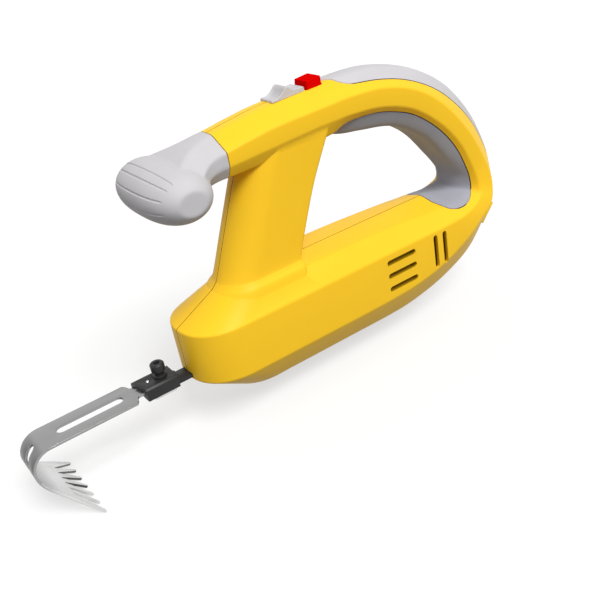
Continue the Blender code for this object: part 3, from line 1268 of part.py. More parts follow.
def main():
    """Build every piece."""
    for item in list(bpy.data.objects):
        bpy.data.objects.remove(item)
    yellow = material("yellow_shell", (0.96, 0.52, 0.02), 0.0, 0.35)
    steel = material("blade_steel", (0.55, 0.55, 0.55), 1.0, 0.3)
    black = material("black_steel", (0.03, 0.03, 0.03), 0.6, 0.45)
    bright = material("bright_steel", (0.7, 0.7, 0.7), 1.0, 0.2)
    gear = material("gear_steel", (0.4, 0.4, 0.42), 1.0, 0.35)
    cast = material("gearcase_alloy", (0.5, 0.5, 0.52), 1.0, 0.5)
    brass = material("brass", (0.75, 0.55, 0.25), 1.0, 0.35)
    copper = material("rotor_copper", (0.7, 0.35, 0.2), 1.0, 0.4)
    dark = material("dark_plastic", (0.03, 0.03, 0.035), 0.0, 0.5)
    grey = material("light_grey_grip", (0.66, 0.66, 0.68), 0.0, 0.6)
    mid_grey = material("inner_grip_grey", (0.45, 0.45, 0.47), 0.0, 0.65)
    red = material("red_button", (0.55, 0.0, 0.0), 0.0, 0.35)
    cell = material("cell_wrap", (0.05, 0.2, 0.5), 0.0, 0.4)
    board = material("circuit_board", (0.02, 0.2, 0.08), 0.0, 0.5)
    rubber = material("seal_rubber", (0.02, 0.02, 0.02), 0.0, 0.8)
    make_blade(steel)
    make_clamp(black)
    make_thumb_screw(black)
    make_nut_plate(bright)
    make_plunger(black)
    make_locating_pin(bright)
    make_drive_gear(gear)
    make_crankshaft(bright)
    axis = (CRANK_X, 0, 0)
    make_bearing("follower_bearing", FOLLOWER_RADIUS, ECCENTRIC_RADIUS + FIT_GAP, FOLLOWER_LOW,
                 FOLLOWER_HIGH, (CRANK_X + THROW, 0, 0), bright, pivot=axis)
    make_bearing("lower_crank_bearing", BEARING_RADIUS, SHAFT_RADIUS + FIT_GAP, *LOWER_BEARING,
                 axis, bright)
    make_bearing("upper_crank_bearing", BEARING_RADIUS, SHAFT_RADIUS + FIT_GAP, *UPPER_BEARING,
                 axis, bright)
    make_gearcase_base(cast)
    make_gearcase_cover(cast)
    seat = COVER_LOW + COVER_THICKNESS + FIT_GAP
    for index, (x, y) in enumerate(CASE_SCREWS):
        make_screw(f"gearcase_screw_{index + 1}", CASE_SCREW_RADIUS, 2.4, -7.0, seat, seat + 2.0,
                   (x, y, 0), bright)
    make_motor(steel, dark, copper, brass)
    make_guides(dark, rubber)
    make_housing(yellow)
    make_housing_screws(bright)
    make_grips(grey, mid_grey)
    make_front_grip(grey)
    seat = GRIP_SEAT + FIT_GAP
    make_screw("front_grip_screw", SCREW_RADIUS, 2.9, 7.0, seat, seat + 1.0,
               (GRIP_SCREW[0], 0, GRIP_SCREW[1]), bright, axis="Y")
    make_slide_switch(grey)
    make_lock_button(red)
    make_lock_spring(bright)
    make_switch_module(dark)
    make_battery(dark, cell, board, bright)
    make_charge_parts(yellow, dark, bright)


main()
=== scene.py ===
# %% [markdown]
# A cordless weed puller: a battery tool whose motor shakes a bent, toothed steel blade. The
# working model is loaded first and stays as it is. This lesson dresses it: finer shells and
# grips are modelled over the working parts, and every surface gets a finish of its own.

# %% Load the working model
import json
import math

import bmesh
import bpy
from mathutils import Matrix, Vector


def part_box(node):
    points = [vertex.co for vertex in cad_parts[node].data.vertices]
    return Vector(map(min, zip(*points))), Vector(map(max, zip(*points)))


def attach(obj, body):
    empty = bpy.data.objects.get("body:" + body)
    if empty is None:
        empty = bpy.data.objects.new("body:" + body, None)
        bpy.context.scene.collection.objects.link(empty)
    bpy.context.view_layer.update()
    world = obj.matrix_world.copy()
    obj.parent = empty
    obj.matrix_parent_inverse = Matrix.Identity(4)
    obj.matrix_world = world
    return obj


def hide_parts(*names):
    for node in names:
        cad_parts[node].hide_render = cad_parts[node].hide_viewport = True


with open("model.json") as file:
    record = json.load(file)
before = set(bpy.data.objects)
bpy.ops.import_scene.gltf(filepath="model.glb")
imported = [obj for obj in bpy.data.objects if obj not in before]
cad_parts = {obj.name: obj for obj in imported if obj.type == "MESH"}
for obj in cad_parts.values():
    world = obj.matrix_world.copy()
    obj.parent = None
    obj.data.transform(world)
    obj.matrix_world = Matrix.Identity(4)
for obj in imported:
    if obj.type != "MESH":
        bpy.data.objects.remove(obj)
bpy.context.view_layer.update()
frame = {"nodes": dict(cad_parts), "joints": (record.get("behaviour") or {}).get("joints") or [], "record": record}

# %% [markdown]
# The tool was drawn in millimetres from one point: the rear end of the blade's strap, on its
# upper face, midway between the two housing halves. The crank's axis stands 101 mm behind
# that point, so the point is found from the crank's joint. Pieces are shaped in millimetres
# and brought to metres when they are finished.

# %% Drawing point and units
MM = 0.001
CRANK_X = 101.0
crank = next(j for j in frame["joints"] if j["name"] == "crank_spin")
ORIGIN = Vector(crank["pos_m"]) - Vector((CRANK_X * MM, 0, 0))
TO_METRES = Matrix.Translation(ORIGIN) @ Matrix.Scale(MM, 4)
print("drawing point", [round(v, 5) for v in ORIGIN])

# %% [markdown]
# The photograph looks down on the tool from its front left. Lens and place were solved from
# the straight edges of the body: a 49 mm lens on a 36 mm sensor, turned 30 degrees to the
# side, 29 degrees down, and rolled by almost 11 degrees.

# %% Camera
def added(name, data):
    """New object in the scene."""
    made = bpy.data.objects.new(name, data)
    bpy.context.scene.collection.objects.link(made)
    return made


AZIMUTH, ELEVATION, ROLL = [math.radians(angle) for angle in (-29.97, 28.80, -10.74)]
back = Vector((math.sin(AZIMUTH) * math.cos(ELEVATION),
               -math.cos(AZIMUTH) * math.cos(ELEVATION), math.sin(ELEVATION)))
right = Vector((math.cos(AZIMUTH), math.sin(AZIMUTH), 0))
above = back.cross(right)
turned_right = right * math.cos(ROLL) + above * math.sin(ROLL)
turned_up = above * math.cos(ROLL) - right * math.sin(ROLL)
lens = bpy.data.cameras.new("camera")
lens.lens, lens.sensor_width = 49.14, 36.0
lens.clip_start, lens.clip_end = 0.01, 50.0
camera = added("camera", lens)
axes = Matrix((turned_right, turned_up, back)).transposed().to_4x4()
camera.matrix_world = Matrix.Translation(ORIGIN + Vector((-143.6, -531.3, 345.9)) * MM) @ axes
bpy.context.scene.camera = camera
print("camera at", [round(v, 4) for v in camera.location])

# %% [markdown]
# Sky, floor and finishes are made of shader nodes. These helpers add a node with its settings,
# run sockets through a math node, and tell the rays that look straight at a surface from
# those that only carry its light on to other things.

# %% Node helpers
def feed(tree, node, entries):
    """Give each named input of a node its value, or link it to a socket."""
    for name, entry in entries.items():
        if isinstance(entry, bpy.types.NodeSocket):
            tree.links.new(entry, node.inputs[name])
        else:
            node.inputs[name].default_value = entry


def add_node(tree, kind, entries=None, **settings):
    """Outputs of a new shader node."""
    node = tree.nodes.new("ShaderNode" + kind)
    for setting, value in settings.items():
        setattr(node, setting, value)
    feed(tree, node, entries or {})
    return node.outputs


def combined(tree, operation, *entries):
    """Sockets or values run through a math node."""
    return add_node(tree, "Math", dict(enumerate(entries)), operation=operation)[0]


def seen_directly(tree):
    """One where the camera, a mirror or clear glass looks at the surface, else zero."""
    path = add_node(tree, "LightPath")
    solid_look = combined(tree, "MAXIMUM", path["Is Camera Ray"], path["Is Glossy Ray"])
    return combined(tree, "MAXIMUM", solid_look, path["Is Transmission Ray"])


# %% [markdown]
# The studio is plain: an even pale sky, one broad lamp high on the near side, and a pale
# floor. A sun lamp with a wide disc gives soft shadows and lights the far floor as much as
# the near floor, so the floor reads as white paper all the way to the edge of the picture.

# %% Sky and lamp
SKY_LEVEL, KEY_LEVEL, KEY_WIDTH = 0.48, 2.7, math.radians(30)
KEY_FROM = Vector((0.02, -0.55, 0.72)).normalized()
world = bpy.data.worlds.new("studio")
world.use_nodes = True
bpy.context.scene.world = world
studio = world.node_tree
level = add_node(studio, "MapRange", {"To Min": SKY_LEVEL, "To Max": 1.0,
                                      "Value": seen_directly(studio)})
feed(studio, studio.nodes["Background"], {"Color": (1.0, 1.0, 1.0, 1.0),
                                          "Strength": level["Result"]})
key = bpy.data.lights.new("key", "SUN")
key.energy, key.angle = KEY_LEVEL, KEY_WIDTH
key_lamp = added("key", key)
key_lamp.rotation_mode = "QUATERNION"
key_lamp.rotation_quaternion = KEY_FROM.to_track_quat("Z", "Y")
bpy.context.scene.view_settings.view_transform = "Standard"
print("sky level", SKY_LEVEL, "lamp level", KEY_LEVEL)

# %% [markdown]
# Every finish is made of nodes. A moulded plastic has a very fine grain from the spark
# eroded mould and a slight unevenness in its gloss; a rolled steel has streaks along its
# length. One helper makes such a finish from a few plain numbers. Patterns read object
# coordinates, in metres. Shade is then painted into some colours. On the blade the strap is
# painted at half brightness, painted shade that leaves the fan, which reflects the bright
# floor, the lighter of the two. The faces that turn to the front, the outside of the bend among
# them, carry painted shade, and the cut sides of the far teeth are painted nearly black,
# painted shade for the dark reflections that they show. The side walls of both inlays, which
# stand in a narrow gap, the parting faces of the shells and the depth of the louvres are
# painted dark too: painted shade where a gap or hollow lies in shadow.

# %% Finishes
DRIFT_SCALE, GRAIN_HEIGHT = 45.0, 0.00005


def tone(red, green, blue):
    """Linear colour of a colour given as screen values from 0 to 255."""
    def channel(value):
        value /= 255
        return value / 12.92 if value <= 0.04045 else ((value + 0.055) / 1.055) ** 2.4
    return (channel(red), channel(green), channel(blue), 1.0)


def finish_of(name, colour, gloss, metal=0.0, grain=0.15, pitch=2500.0, stretch=(1, 1, 1),
              mottle=0.06, swing=0.08, shine=0.5):
    """Procedural finish: colour and roughness drift slowly, fine grain raises the surface."""
    made = bpy.data.materials.new(name)
    made.use_nodes = True
    tree = made.node_tree
    where = add_node(tree, "TexCoord")["Object"]
    spot = add_node(tree, "Mapping", {"Scale": stretch, "Vector": where})["Vector"]
    slow, fine = [add_node(tree, "TexNoise", {"Scale": scale, "Detail": detail,
                                              "Vector": spot})["Fac"]
                  for scale, detail in ((DRIFT_SCALE, 3.0), (pitch, 2.0))]
    ramp = add_node(tree, "ValToRGB", {"Fac": slow})["Color"]
    for stop, place, share in zip(ramp.node.color_ramp.elements, (0.3, 0.7),
                                  (1 - mottle, 1 + mottle)):
        stop.position = place
        stop.color = (*[min(c * share, 1.0) for c in colour[:3]], 1)
    rough = add_node(tree, "MapRange", {"To Min": max(gloss - swing, 0.02),
                                        "To Max": min(gloss + swing, 1.0), "Value": fine})
    entries = {"Metallic": metal, "Specular IOR Level": shine, "Base Color": ramp,
               "Roughness": rough["Result"]}
    if grain:
        bump = add_node(tree, "Bump", {"Strength": grain, "Distance": GRAIN_HEIGHT,
                                       "Height": fine})
        entries["Normal"] = bump["Normal"]
    feed(tree, tree.nodes["Principled BSDF"], entries)
    return made


# Screen colour, gloss, and what else differs from a plain moulded finish.
LOOKS = {
    "yellow_shell": ((255, 203, 42), 0.42, {"mottle": 0.012, "shine": 0.12}),
    "light_grey_grip": ((198, 196, 198), 0.6,
                        {"grain": 0.3, "pitch": 1800.0, "mottle": 0.02, "shine": 0.1}),
    "inner_grip_grey": ((161, 163, 173), 0.65,
                        {"grain": 0.3, "pitch": 1800.0, "mottle": 0.03, "shine": 0.1}),
    "red_button": ((214, 4, 2), 0.4, {"mottle": 0.03, "shine": 0.0}),
    "blade_steel": ((216, 216, 216), 0.3,
                    {"metal": 1.0, "grain": 0.25, "pitch": 900.0, "stretch": (0.04, 1.0, 1.0)}),
    "black_steel": ((43, 43, 44), 0.45, {"metal": 0.2, "grain": 0.3, "pitch": 1500.0,
                                         "mottle": 0.12, "swing": 0.1, "shine": 0.3}),
    "bright_steel": ((205, 205, 206), 0.25, {"metal": 1.0, "grain": 0.1}),
    "gear_steel": ((150, 150, 154), 0.35, {"metal": 1.0, "mottle": 0.1}),
    "gearcase_alloy": ((172, 172, 176), 0.5,
                       {"metal": 1.0, "grain": 0.4, "pitch": 700.0, "mottle": 0.08}),
    "brass": ((206, 170, 96), 0.3, {"metal": 1.0}),
    "rotor_copper": ((186, 118, 78), 0.4, {"metal": 1.0, "mottle": 0.2, "stretch": (1, 1, 0.1)}),
    "dark_plastic": ((42, 42, 45), 0.5, {"grain": 0.3, "mottle": 0.08}),
    "cell_wrap": ((60, 110, 176), 0.3, {"mottle": 0.05}),
    "circuit_board": ((24, 104, 58), 0.35, {"mottle": 0.25, "pitch": 400.0}),
    "seal_rubber": ((34, 34, 34), 0.8, {"grain": 0.4}),
}
finishes = {name: finish_of(name, tone(*colour), gloss, **rest)
            for name, (colour, gloss, rest) in LOOKS.items()}


def paint_shade(name, factor, *limits):
    """Paint shade into a finish's colour where all limits are met: what, where it starts, where full."""
    tree = finishes[name].node_tree
    where = add_node(tree, "TexCoord")
    shares = []
    for what, start, end in limits:
        source, axis = what.split()
        vector = where["Object" if source == "spot" else "Normal"]
        value = add_node(tree, "SeparateXYZ", {"Vector": vector})[axis.strip("|")]
        if "|" in axis:
            value = combined(tree, "ABSOLUTE", value)
        shares.append(add_node(tree, "MapRange", {"From Min": start, "From Max": end,
                                                  "Value": value})["Result"])
    share = shares[0]
    for other in shares[1:]:
        share = combined(tree, "MULTIPLY", share, other)
    shader = tree.nodes["Principled BSDF"]
    mixed = add_node(tree, "Mix", {"B": (factor, factor, factor, 1.0), "Factor": share,
                                   "A": shader.inputs["Base Color"].links[0].from_socket},
                     data_type="RGBA", blend_type="MULTIPLY")
    feed(tree, shader, {"Base Color": mixed["Result"]})


FAN_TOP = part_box("blade")[0][2] + 0.030
INLAY_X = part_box("inner_grip")[0][0]
SHELL_SIDE = -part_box("left_housing")[0][1]
BRINK = 0.0002
# Painted shade: the box around the louvres whose depth is painted dark.
LOUVRE_SHADE = [(what, place - inward * BRINK, place)
           for what, places in (("spot X", [ORIGIN.x + x * MM for x in (230.5, 263.5)]),
                                ("spot Z", [ORIGIN.z + z * MM for z in (-2.4, 29.4)]))
           for place, inward in zip(places, (1, -1))]
# Painted shade: the side walls of both inlays, which stand in a narrow gap, are painted dark.
INLAY_GAP_SHADE = [("facing |Y|", 0.95, 0.985), ("spot X", INLAY_X - 0.004, INLAY_X)]
for part in [
        # Painted shade: the strap above the fan at half brightness, so the fan reads as the lighter steel.
        ("blade_steel", 0.5, ("spot Z", FAN_TOP - 0.006, FAN_TOP + 0.006)),
        # Painted shade: blade faces turned to the front, the outside of the bend among them, at 0.3.
        ("blade_steel", 0.3, ("facing X", -0.25, -0.95)),
        # Painted shade: cut sides of the far teeth nearly black, standing for the dark reflections there.
        ("blade_steel", 0.12, ("facing |Y|", 0.35, 0.6), ("spot Z", FAN_TOP, FAN_TOP - 0.006),
         ("spot Y", -0.014, -0.006)),
        # Painted shade on the side walls of the inlays in their gap.
        ("light_grey_grip", 0.15, *INLAY_GAP_SHADE),
        ("inner_grip_grey", 0.15, *INLAY_GAP_SHADE),
        # Painted shade: the parting faces of the shells, in the hair line gap between the halves.
        ("yellow_shell", 0.12, ("facing |Y|", 0.9, 0.97), ("spot |Y|", 0.0006, 0.0004)),
        # Painted shade: the depth of the louvres, inside the flat side wall.
        ("yellow_shell", 0.33, ("spot |Y|", SHELL_SIDE - 0.0006, SHELL_SIDE - 0.0016),
         *LOUVRE_SHADE)]:
    paint_shade(*part)
slot_of = {entry["node"]: entry["material_slot"] for entry in frame["record"]["subparts"]}
for node, thing in frame["nodes"].items():
    thing.data.materials.clear()
    thing.data.materials.append(finishes[slot_of[node]])
print(len(finishes), "finishes on", len(frame["nodes"]), "working parts")

# %% [markdown]
# The floor is one big sheet of white paper, so wide that the camera never looks over its
# edge. Seen directly it is white. For the light that it throws back up it counts as a darker
# grey, so that the underside of the tool stays in shade, as it does in the photograph.

# %% Floor
PAPER, PAPER_BOUNCE, PAPER_GLOW, PAPER_SIZE = 0.94, 0.18, 0.6, 20.0


def in_order(bm):
    """Sort corners by place, edges and faces by corners, so that every run is the same."""
    bm.verts.sort(key=lambda v: v.co.x * 1e6 + v.co.y * 1e3 + v.co.z)
    bm.verts.index_update()
    step = 1 / len(bm.verts)
    for items in (bm.edges, bm.faces):
        items.sort(key=lambda item: sum(
            place * step**k for k, place in enumerate(sorted(v.index for v in item.verts)[:3])))


def placed(bm, name):
    """Object in the scene that holds a finished bmesh."""
    mesh = bpy.data.meshes.new(name)
    in_order(bm)
    bm.to_mesh(mesh)
    bm.free()
    return added(name, mesh)


paper = finish_of("paper", (PAPER, PAPER, PAPER, 1.0), 0.9, grain=0.0, mottle=0.0, swing=0.02,
                  shine=0.0)
tree = paper.node_tree
shader = tree.nodes["Principled BSDF"]
direct = seen_directly(tree)
colour = add_node(tree, "Mix", {"A": (PAPER_BOUNCE, PAPER_BOUNCE, PAPER_BOUNCE, 1.0),
                                "B": shader.inputs["Base Color"].links[0].from_socket,
                                "Factor": direct}, data_type="RGBA")
feed(tree, shader, {"Base Color": colour["Result"]})
blend = add_node(tree, "MixShader", {0: combined(tree, "MULTIPLY", direct, PAPER_GLOW),
                                     1: shader.outputs["BSDF"],
                                     2: add_node(tree, "Emission")["Emission"]})
feed(tree, tree.nodes["Material Output"], {"Surface": blend["Shader"]})
bm = bmesh.new()
bmesh.ops.create_grid(bm, x_segments=1, y_segments=1, size=PAPER_SIZE)
floor = placed(bm, "floor")
floor.data.materials.append(paper)
print("floor", 2 * PAPER_SIZE, "m wide")

# %% [markdown]
# Workshop helpers. A loft carries one outline through space: its first row is drawn, and
# each next row is that outline extruded and set in place. Booleans are applied at once, the
# many-sided faces that they leave are split, and corners within five thousandths of a
# millimetre are merged. A spare flap on an edge that two faces share is removed.

# %% Helpers for solids
WELD = 0.005


def loft(bm, rows):
    """Carry a closed outline through rows of equally many points."""
    line = [bm.verts.new(p) for p in rows[0]]
    edges = [bm.edges.new(pair) for pair in zip(line, line[1:] + line[:1])]
    first = line
    for row in rows[1:]:
        grown = bmesh.ops.extrude_edge_only(bm, edges=edges)["geom"]
        fresh = {g for g in grown if isinstance(g, bmesh.types.BMVert)}
        edges = [g for g in grown if isinstance(g, bmesh.types.BMEdge)
                 and all(v in fresh for v in g.verts)]
        above_of = {}
        for vert in fresh:
            for edge in vert.link_edges:
                if edge.other_vert(vert) not in fresh:
                    above_of[edge.other_vert(vert)] = vert
        line = [above_of[v] for v in line]
        for vert, point in zip(line, row):
            vert.co = point
    return first, line


def solid(bm):
    """Object in drawing millimetres, clean and facing outward."""
    bmesh.ops.remove_doubles(bm, verts=bm.verts, dist=WELD / 5)
    bmesh.ops.recalc_face_normals(bm, faces=bm.faces)
    return placed(bm, "solid")


def lofted(rows, folded=False):
    """Closed loft, its ends filled unless the last row folds flat."""
    bm = bmesh.new()
    first, last = loft(bm, rows)
    bm.faces.new(first)
    if not folded:
        bm.faces.new(last)
    return solid(bm)


def carve(target, operation, *tools):
    """Apply Booleans to the target and remove the tools."""
    for thing in tools:
        step = target.modifiers.new("carve", "BOOLEAN")
        step.operation, step.solver, step.object = operation, "EXACT", thing
    bpy.context.view_layer.update()
    shape = target.evaluated_get(bpy.context.evaluated_depsgraph_get())
    mesh = bpy.data.meshes.new_from_object(shape)
    target.modifiers.clear()
    bm = bmesh.new()
    bm.from_mesh(mesh)
    in_order(bm)
    bmesh.ops.triangulate(bm, faces=[f for f in bm.faces if len(f.verts) > 4])
    bmesh.ops.remove_doubles(bm, verts=bm.verts, dist=WELD)
    bmesh.ops.dissolve_degenerate(bm, edges=bm.edges, dist=WELD / 5)
    flaps = [f for f in bm.faces if any(len(e.link_faces) == 1 for e in f.edges)
             and any(len(e.link_faces) > 2 for e in f.edges)]
    bmesh.ops.delete(bm, geom=flaps, context="FACES")
    bmesh.ops.holes_fill(bm, edges=[e for e in bm.edges if len(e.link_faces) == 1], sides=4)
    in_order(bm)
    bm.to_mesh(mesh)
    bm.free()
    target.data = mesh
    for thing in tools:
        bpy.data.objects.remove(thing)
    return target


def finish_piece(made, name, body, slot, *nodes, crisp=32.0, matrix=TO_METRES):
    """Bring a solid to metres, shade it, and let it stand for the working parts."""
    made.name = made.data.name = name
    bm = bmesh.new()
    bm.from_mesh(made.data)
    bmesh.ops.transform(bm, verts=bm.verts, matrix=matrix)
    for face in bm.faces:
        face.smooth = True
    for edge in bm.edges:
        edge.smooth = len(edge.link_faces) != 2 or edge.calc_face_angle(0.0) < math.radians(crisp)
    bm.to_mesh(made.data)
    loose = sum(len(e.link_faces) != 2 for e in bm.edges)
    bm.free()
    made.data.materials.clear()
    made.data.materials.append(finishes[slot])
    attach(made, body)
    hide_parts(*nodes)
    print(name, len(made.data.polygons), "faces", loose, "open edges")


def soften(bm, edges, width, segments, **rest):
    """Round edges off."""
    bmesh.ops.bevel(bm, geom=edges, offset=width, segments=segments, profile=0.5,
                    affect="EDGES", material=-1, **rest)


def block(low, high, radius=0.0, axis=2):
    """Box between two corners, its edges along one axis rounded."""
    bm = bmesh.new()
    bmesh.ops.create_cube(bm, size=1.0)
    bmesh.ops.scale(bm, verts=bm.verts, vec=Vector(high) - Vector(low))
    bmesh.ops.translate(bm, verts=bm.verts, vec=(Vector(high) + Vector(low)) / 2)
    if radius:
        along = [e for e in bm.edges
                 if abs((e.verts[0].co - e.verts[1].co).normalized()[axis]) > 0.9]
        soften(bm, along, radius, 4)
    return bm


def spun(profile, centre, axis, steps):
    """Profile of radius and height spun once about an axis through the centre."""
    bm = bmesh.new()
    verts = [bm.verts.new((r, 0.0, h)) for r, h in profile]
    edges = [bm.edges.new(pair) for pair in zip(verts, verts[1:])]
    bmesh.ops.spin(bm, geom=verts + edges, axis=(0, 0, 1), cent=(0, 0, 0), dvec=(0, 0, 0),
                   angle=math.tau, steps=steps, use_merge=True)
    bmesh.ops.remove_doubles(bm, verts=bm.verts, dist=0.001)
    lean = Matrix.Rotation(-math.pi / 2, 4, "X") if axis == "Y" else Matrix.Identity(4)
    bmesh.ops.transform(bm, verts=bm.verts, matrix=Matrix.Translation(centre) @ lean)
    return bm


def rod(radius, low, high, centre, axis="Z"):
    """Plain cylinder."""
    return spun([(0, low), (radius, low), (radius, high), (0, high)], centre, axis, 32)


# %% [markdown]
# The yellow body is one flowing form, so it is described by its sections: each has an outer
# crease and an inner crease in the mid plane, a half width there, a flat above and a flat
# below. Between the named sections a smooth curve gives as many more as the eye needs.

# %% Sections of the body
BOOM_HALF, BOOM_FRONT_X = 26.5, 111.5
BODY_HALF, ROOF_HALF, FLOOR_HALF = 38.3, 26.0, 24.0
FLOOR_Z, LOWER_CREASE_Z, UPPER_CREASE_Z, ROOF_Z = -33.0, -9.2, 34.4, 51.0
ROOF_CROWN = 2.2
NOSE_END_X, NOSE_POWER, NOSE_STEPS = 126.0, 2.3, 26
FLOOR_RISE, ROOF_RISE = LOWER_CREASE_Z - FLOOR_Z, ROOF_Z - UPPER_CREASE_Z

# Outer crease x and z, inner crease x and z, half width, then of the outer chamfer its rise and
# flat, of the inner chamfer its drop and belly, and last the crown and the sag at mid plane.
SECTIONS = [
    (BOOM_FRONT_X, 163.8, BOOM_FRONT_X, 152.8, BOOM_HALF, 10.2, 8.5, 9.6, 21.0, 0.5, 0.5),
    (150.0, 169.0, 150.0, 154.8, BOOM_HALF, 10.4, 8.5, 11.2, 20.5, 0.5, 0.5),
    (190.0, 170.4, 190.0, 157.0, BOOM_HALF, 11.2, 8.5, 13.0, 20.0, 0.5, 0.5),
    (208.0, 170.8, 208.0, 157.2, BOOM_HALF, 11.6, 8.5, 12.0, 20.0, 0.6, 0.5),
    (225.0, 171.2, 224.0, 157.0, BOOM_HALF, 12.0, 8.5, 7.0, 20.5, 0.7, 0.5),
    (255.0, 169.0, 251.0, 154.6, BOOM_HALF, 13.5, 8.5, 5.3, 21.5, 0.9, 0.5),
    (283.0, 161.0, 275.0, 148.0, BOOM_HALF, 15.5, 8.5, 5.3, 21.5, 1.0, 0.5),
    (308.0, 147.0, 296.0, 137.0, BOOM_HALF, 18.5, 8.5, 5.3, 21.5, 1.2, 0.5),
    (330.0, 126.0, 320.0, 116.5, BOOM_HALF, 20.5, 8.5, 5.3, 21.5, 1.2, 0.5),
    (349.0, 101.0, 337.5, 94.0, BOOM_HALF, 20.5, 8.5, 5.3, 21.5, 1.2, 0.5),
    (362.0, 76.0, 348.5, 71.0, BOOM_HALF, 18.5, 9.5, 5.3, 21.5, 1.0, 0.5),
    (368.0, 60.0, 352.5, 58.0, 27.5, 15.5, 11.0, 5.5, 21.5, 0.8, 0.5),
    (368.5, 46.0, 352.5, 48.0, 29.3, 14.0, 13.5, 6.0, 21.5, 0.6, 1.0),
    (363.0, 33.5, 348.0, 42.5, 32.5, 15.5, 16.5, 8.5, 21.0, 0.4, 3.0),
    (347.0, 24.5, 335.0, 37.5, 36.0, 20.5, 20.0, 10.0, 24.0, 0.3, 7.0),
    (328.0, 13.7, 319.0, 35.0, 37.9, 24.5, 23.0, 11.0, ROOF_HALF, 0.2, 8.5),
    (304.0, 3.3, 300.0, UPPER_CREASE_Z, BODY_HALF, 25.0, FLOOR_HALF, 12.0, ROOF_HALF, 0.1, 7.2),
    (280.0, -3.8, 279.0, UPPER_CREASE_Z, BODY_HALF, 24.6, FLOOR_HALF, 13.4, ROOF_HALF, 0.0, 5.6),
    (250.0, -8.0, 250.0, UPPER_CREASE_Z, BODY_HALF, 24.6, FLOOR_HALF, 15.0, ROOF_HALF, 0.0, 3.8),
    (206.0, LOWER_CREASE_Z, 206.0, UPPER_CREASE_Z, BODY_HALF, FLOOR_RISE, FLOOR_HALF,
     ROOF_RISE, ROOF_HALF, 0.0, ROOF_CROWN),
    (NOSE_END_X, LOWER_CREASE_Z, NOSE_END_X, UPPER_CREASE_Z, BODY_HALF, FLOOR_RISE, FLOOR_HALF,
     ROOF_RISE, ROOF_HALF, 0.0, ROOF_CROWN),
]


def between(table, place):
    """Smooth curve through the rows of a table."""
    index = min(int(place), len(table) - 2)
    t = place - index
    picks = [table[min(max(index + k, 0), len(table) - 1)] for k in (-1, 0, 1, 2)]
    return [(2 * t**3 - 3 * t**2 + 1) * b + (t**3 - 2 * t**2 + t) * (c - a) / 2
            + (3 * t**2 - 2 * t**3) * c + (t**3 - t**2) * (d - b) / 2
            for a, b, c, d in zip(*picks)]


def rows_of(table, steps):
    """Smooth rows of a table, so many to each of its own."""
    return [between(table, i / steps) for i in range((len(table) - 1) * steps + 1)]


def ring_of(first, side, last):
    """Ring of corners from those of one side, mirrored to the other."""
    return [first, *side, last, *(Vector((p.x, -p.y, p.z)) for p in reversed(side))]


def creases(section):
    """Outer and inner crease, and the direction from the inner one to the outer one."""
    outer = Vector((section[0], 0, section[1]))
    inner = Vector((section[2], 0, section[3]))
    return outer, inner, (outer - inner).normalized()


def corners_of(section):
    """Ten corners of a section, from the outer crown round by the right side."""
    outer, inner, up = creases(section)
    half, rise, flat, drop, belly, crown, sag = section[4:]
    across = Vector((0, 1, 0))
    side = [outer + up * rise + across * flat, outer + across * half,
            inner + across * half, inner - up * drop + across * belly]
    return ring_of(outer + up * (rise + crown), side, inner - up * (drop + sag))


def eased(corners, steps=5):
    """Outline whose corners are replaced by short arcs."""
    points = []
    for index, corner in enumerate(corners):
        before, after = corners[index - 1], corners[(index + 1) % len(corners)]
        reach = min(EASING[index], (before - corner).length * 0.4, (after - corner).length * 0.4)
        start = corner + (before - corner).normalized() * reach
        end = corner + (after - corner).normalized() * reach
        for k in range(steps):
            t = k / (steps - 1)
            points.append(start * (1 - t)**2 + corner * 2 * t * (1 - t) + end * t**2)
    return points


EASING = [6.0, 2.2, 1.5, 1.5, 2.0, 6.0, 2.0, 1.5, 1.5, 2.2]
print(len(SECTIONS), "sections,", len(eased(corners_of(SECTIONS[0]))), "points each")

# %% [markdown]
# The nose closes the form. Its floor, creases and roof are four half round outlines seen
# from above, all superellipses with their own tips, so that a cut through the nose is again
# a ring of ten corners. The last ring folds flat on the mid plane and merges shut.

# %% Nose rings
NOSE_OUTLINES = [(86.0, 32.0, FLOOR_HALF, FLOOR_Z, 0.0),
                 (48.4, 42.0, BODY_HALF, LOWER_CREASE_Z, 0.0),
                 (48.4, 42.0, BODY_HALF, UPPER_CREASE_Z, 0.0),
                 (85.0, 32.0, ROOF_HALF, ROOF_Z, ROOF_CROWN)]


def nose_corners(share, outlines=NOSE_OUTLINES, wall=0.0):
    """Ten corners of the nose's ring at a share of the quarter turn from its tip."""
    angle = math.pi / 2 * share
    side = []
    for tip, length, half, height, crown in outlines:
        wide = half * math.sin(angle)**(2 / NOSE_POWER)
        x = tip + length * (1 - math.cos(angle)**(2 / NOSE_POWER))
        side.append(Vector((x, wide, height + crown * (1 - (wide / half)**2))))
    return ring_of(Vector((side[0].x, 0, FLOOR_Z + wall)), side,
                   Vector((side[-1].x, 0, ROOF_Z - wall + ROOF_CROWN)))


def body_rings(span, fine, coarse, ring):
    """Rings from the boom's front along the loop to the nose, finer within a span."""
    rings = []
    for index in range(len(SECTIONS) - 1):
        count = fine if index in span else coarse
        rings += [ring(between(SECTIONS, index + k / count)) for k in range(count)]
    return rings + [ring(SECTIONS[-1])]


def outer_body():
    """Body, loop and boom with eased creases."""
    rings = body_rings(range(2, 18), 8, 2, lambda section: eased(corners_of(section)))
    rings += [eased(nose_corners(step / NOSE_STEPS)) for step in range(NOSE_STEPS, -1, -1)]
    return lofted(rings, folded=True)


# %% [markdown]
# The strut that carries the boom is an upright blade with a half elliptical front and small
# rear corners. It leans back as it climbs and flares out softly where it meets the roof.

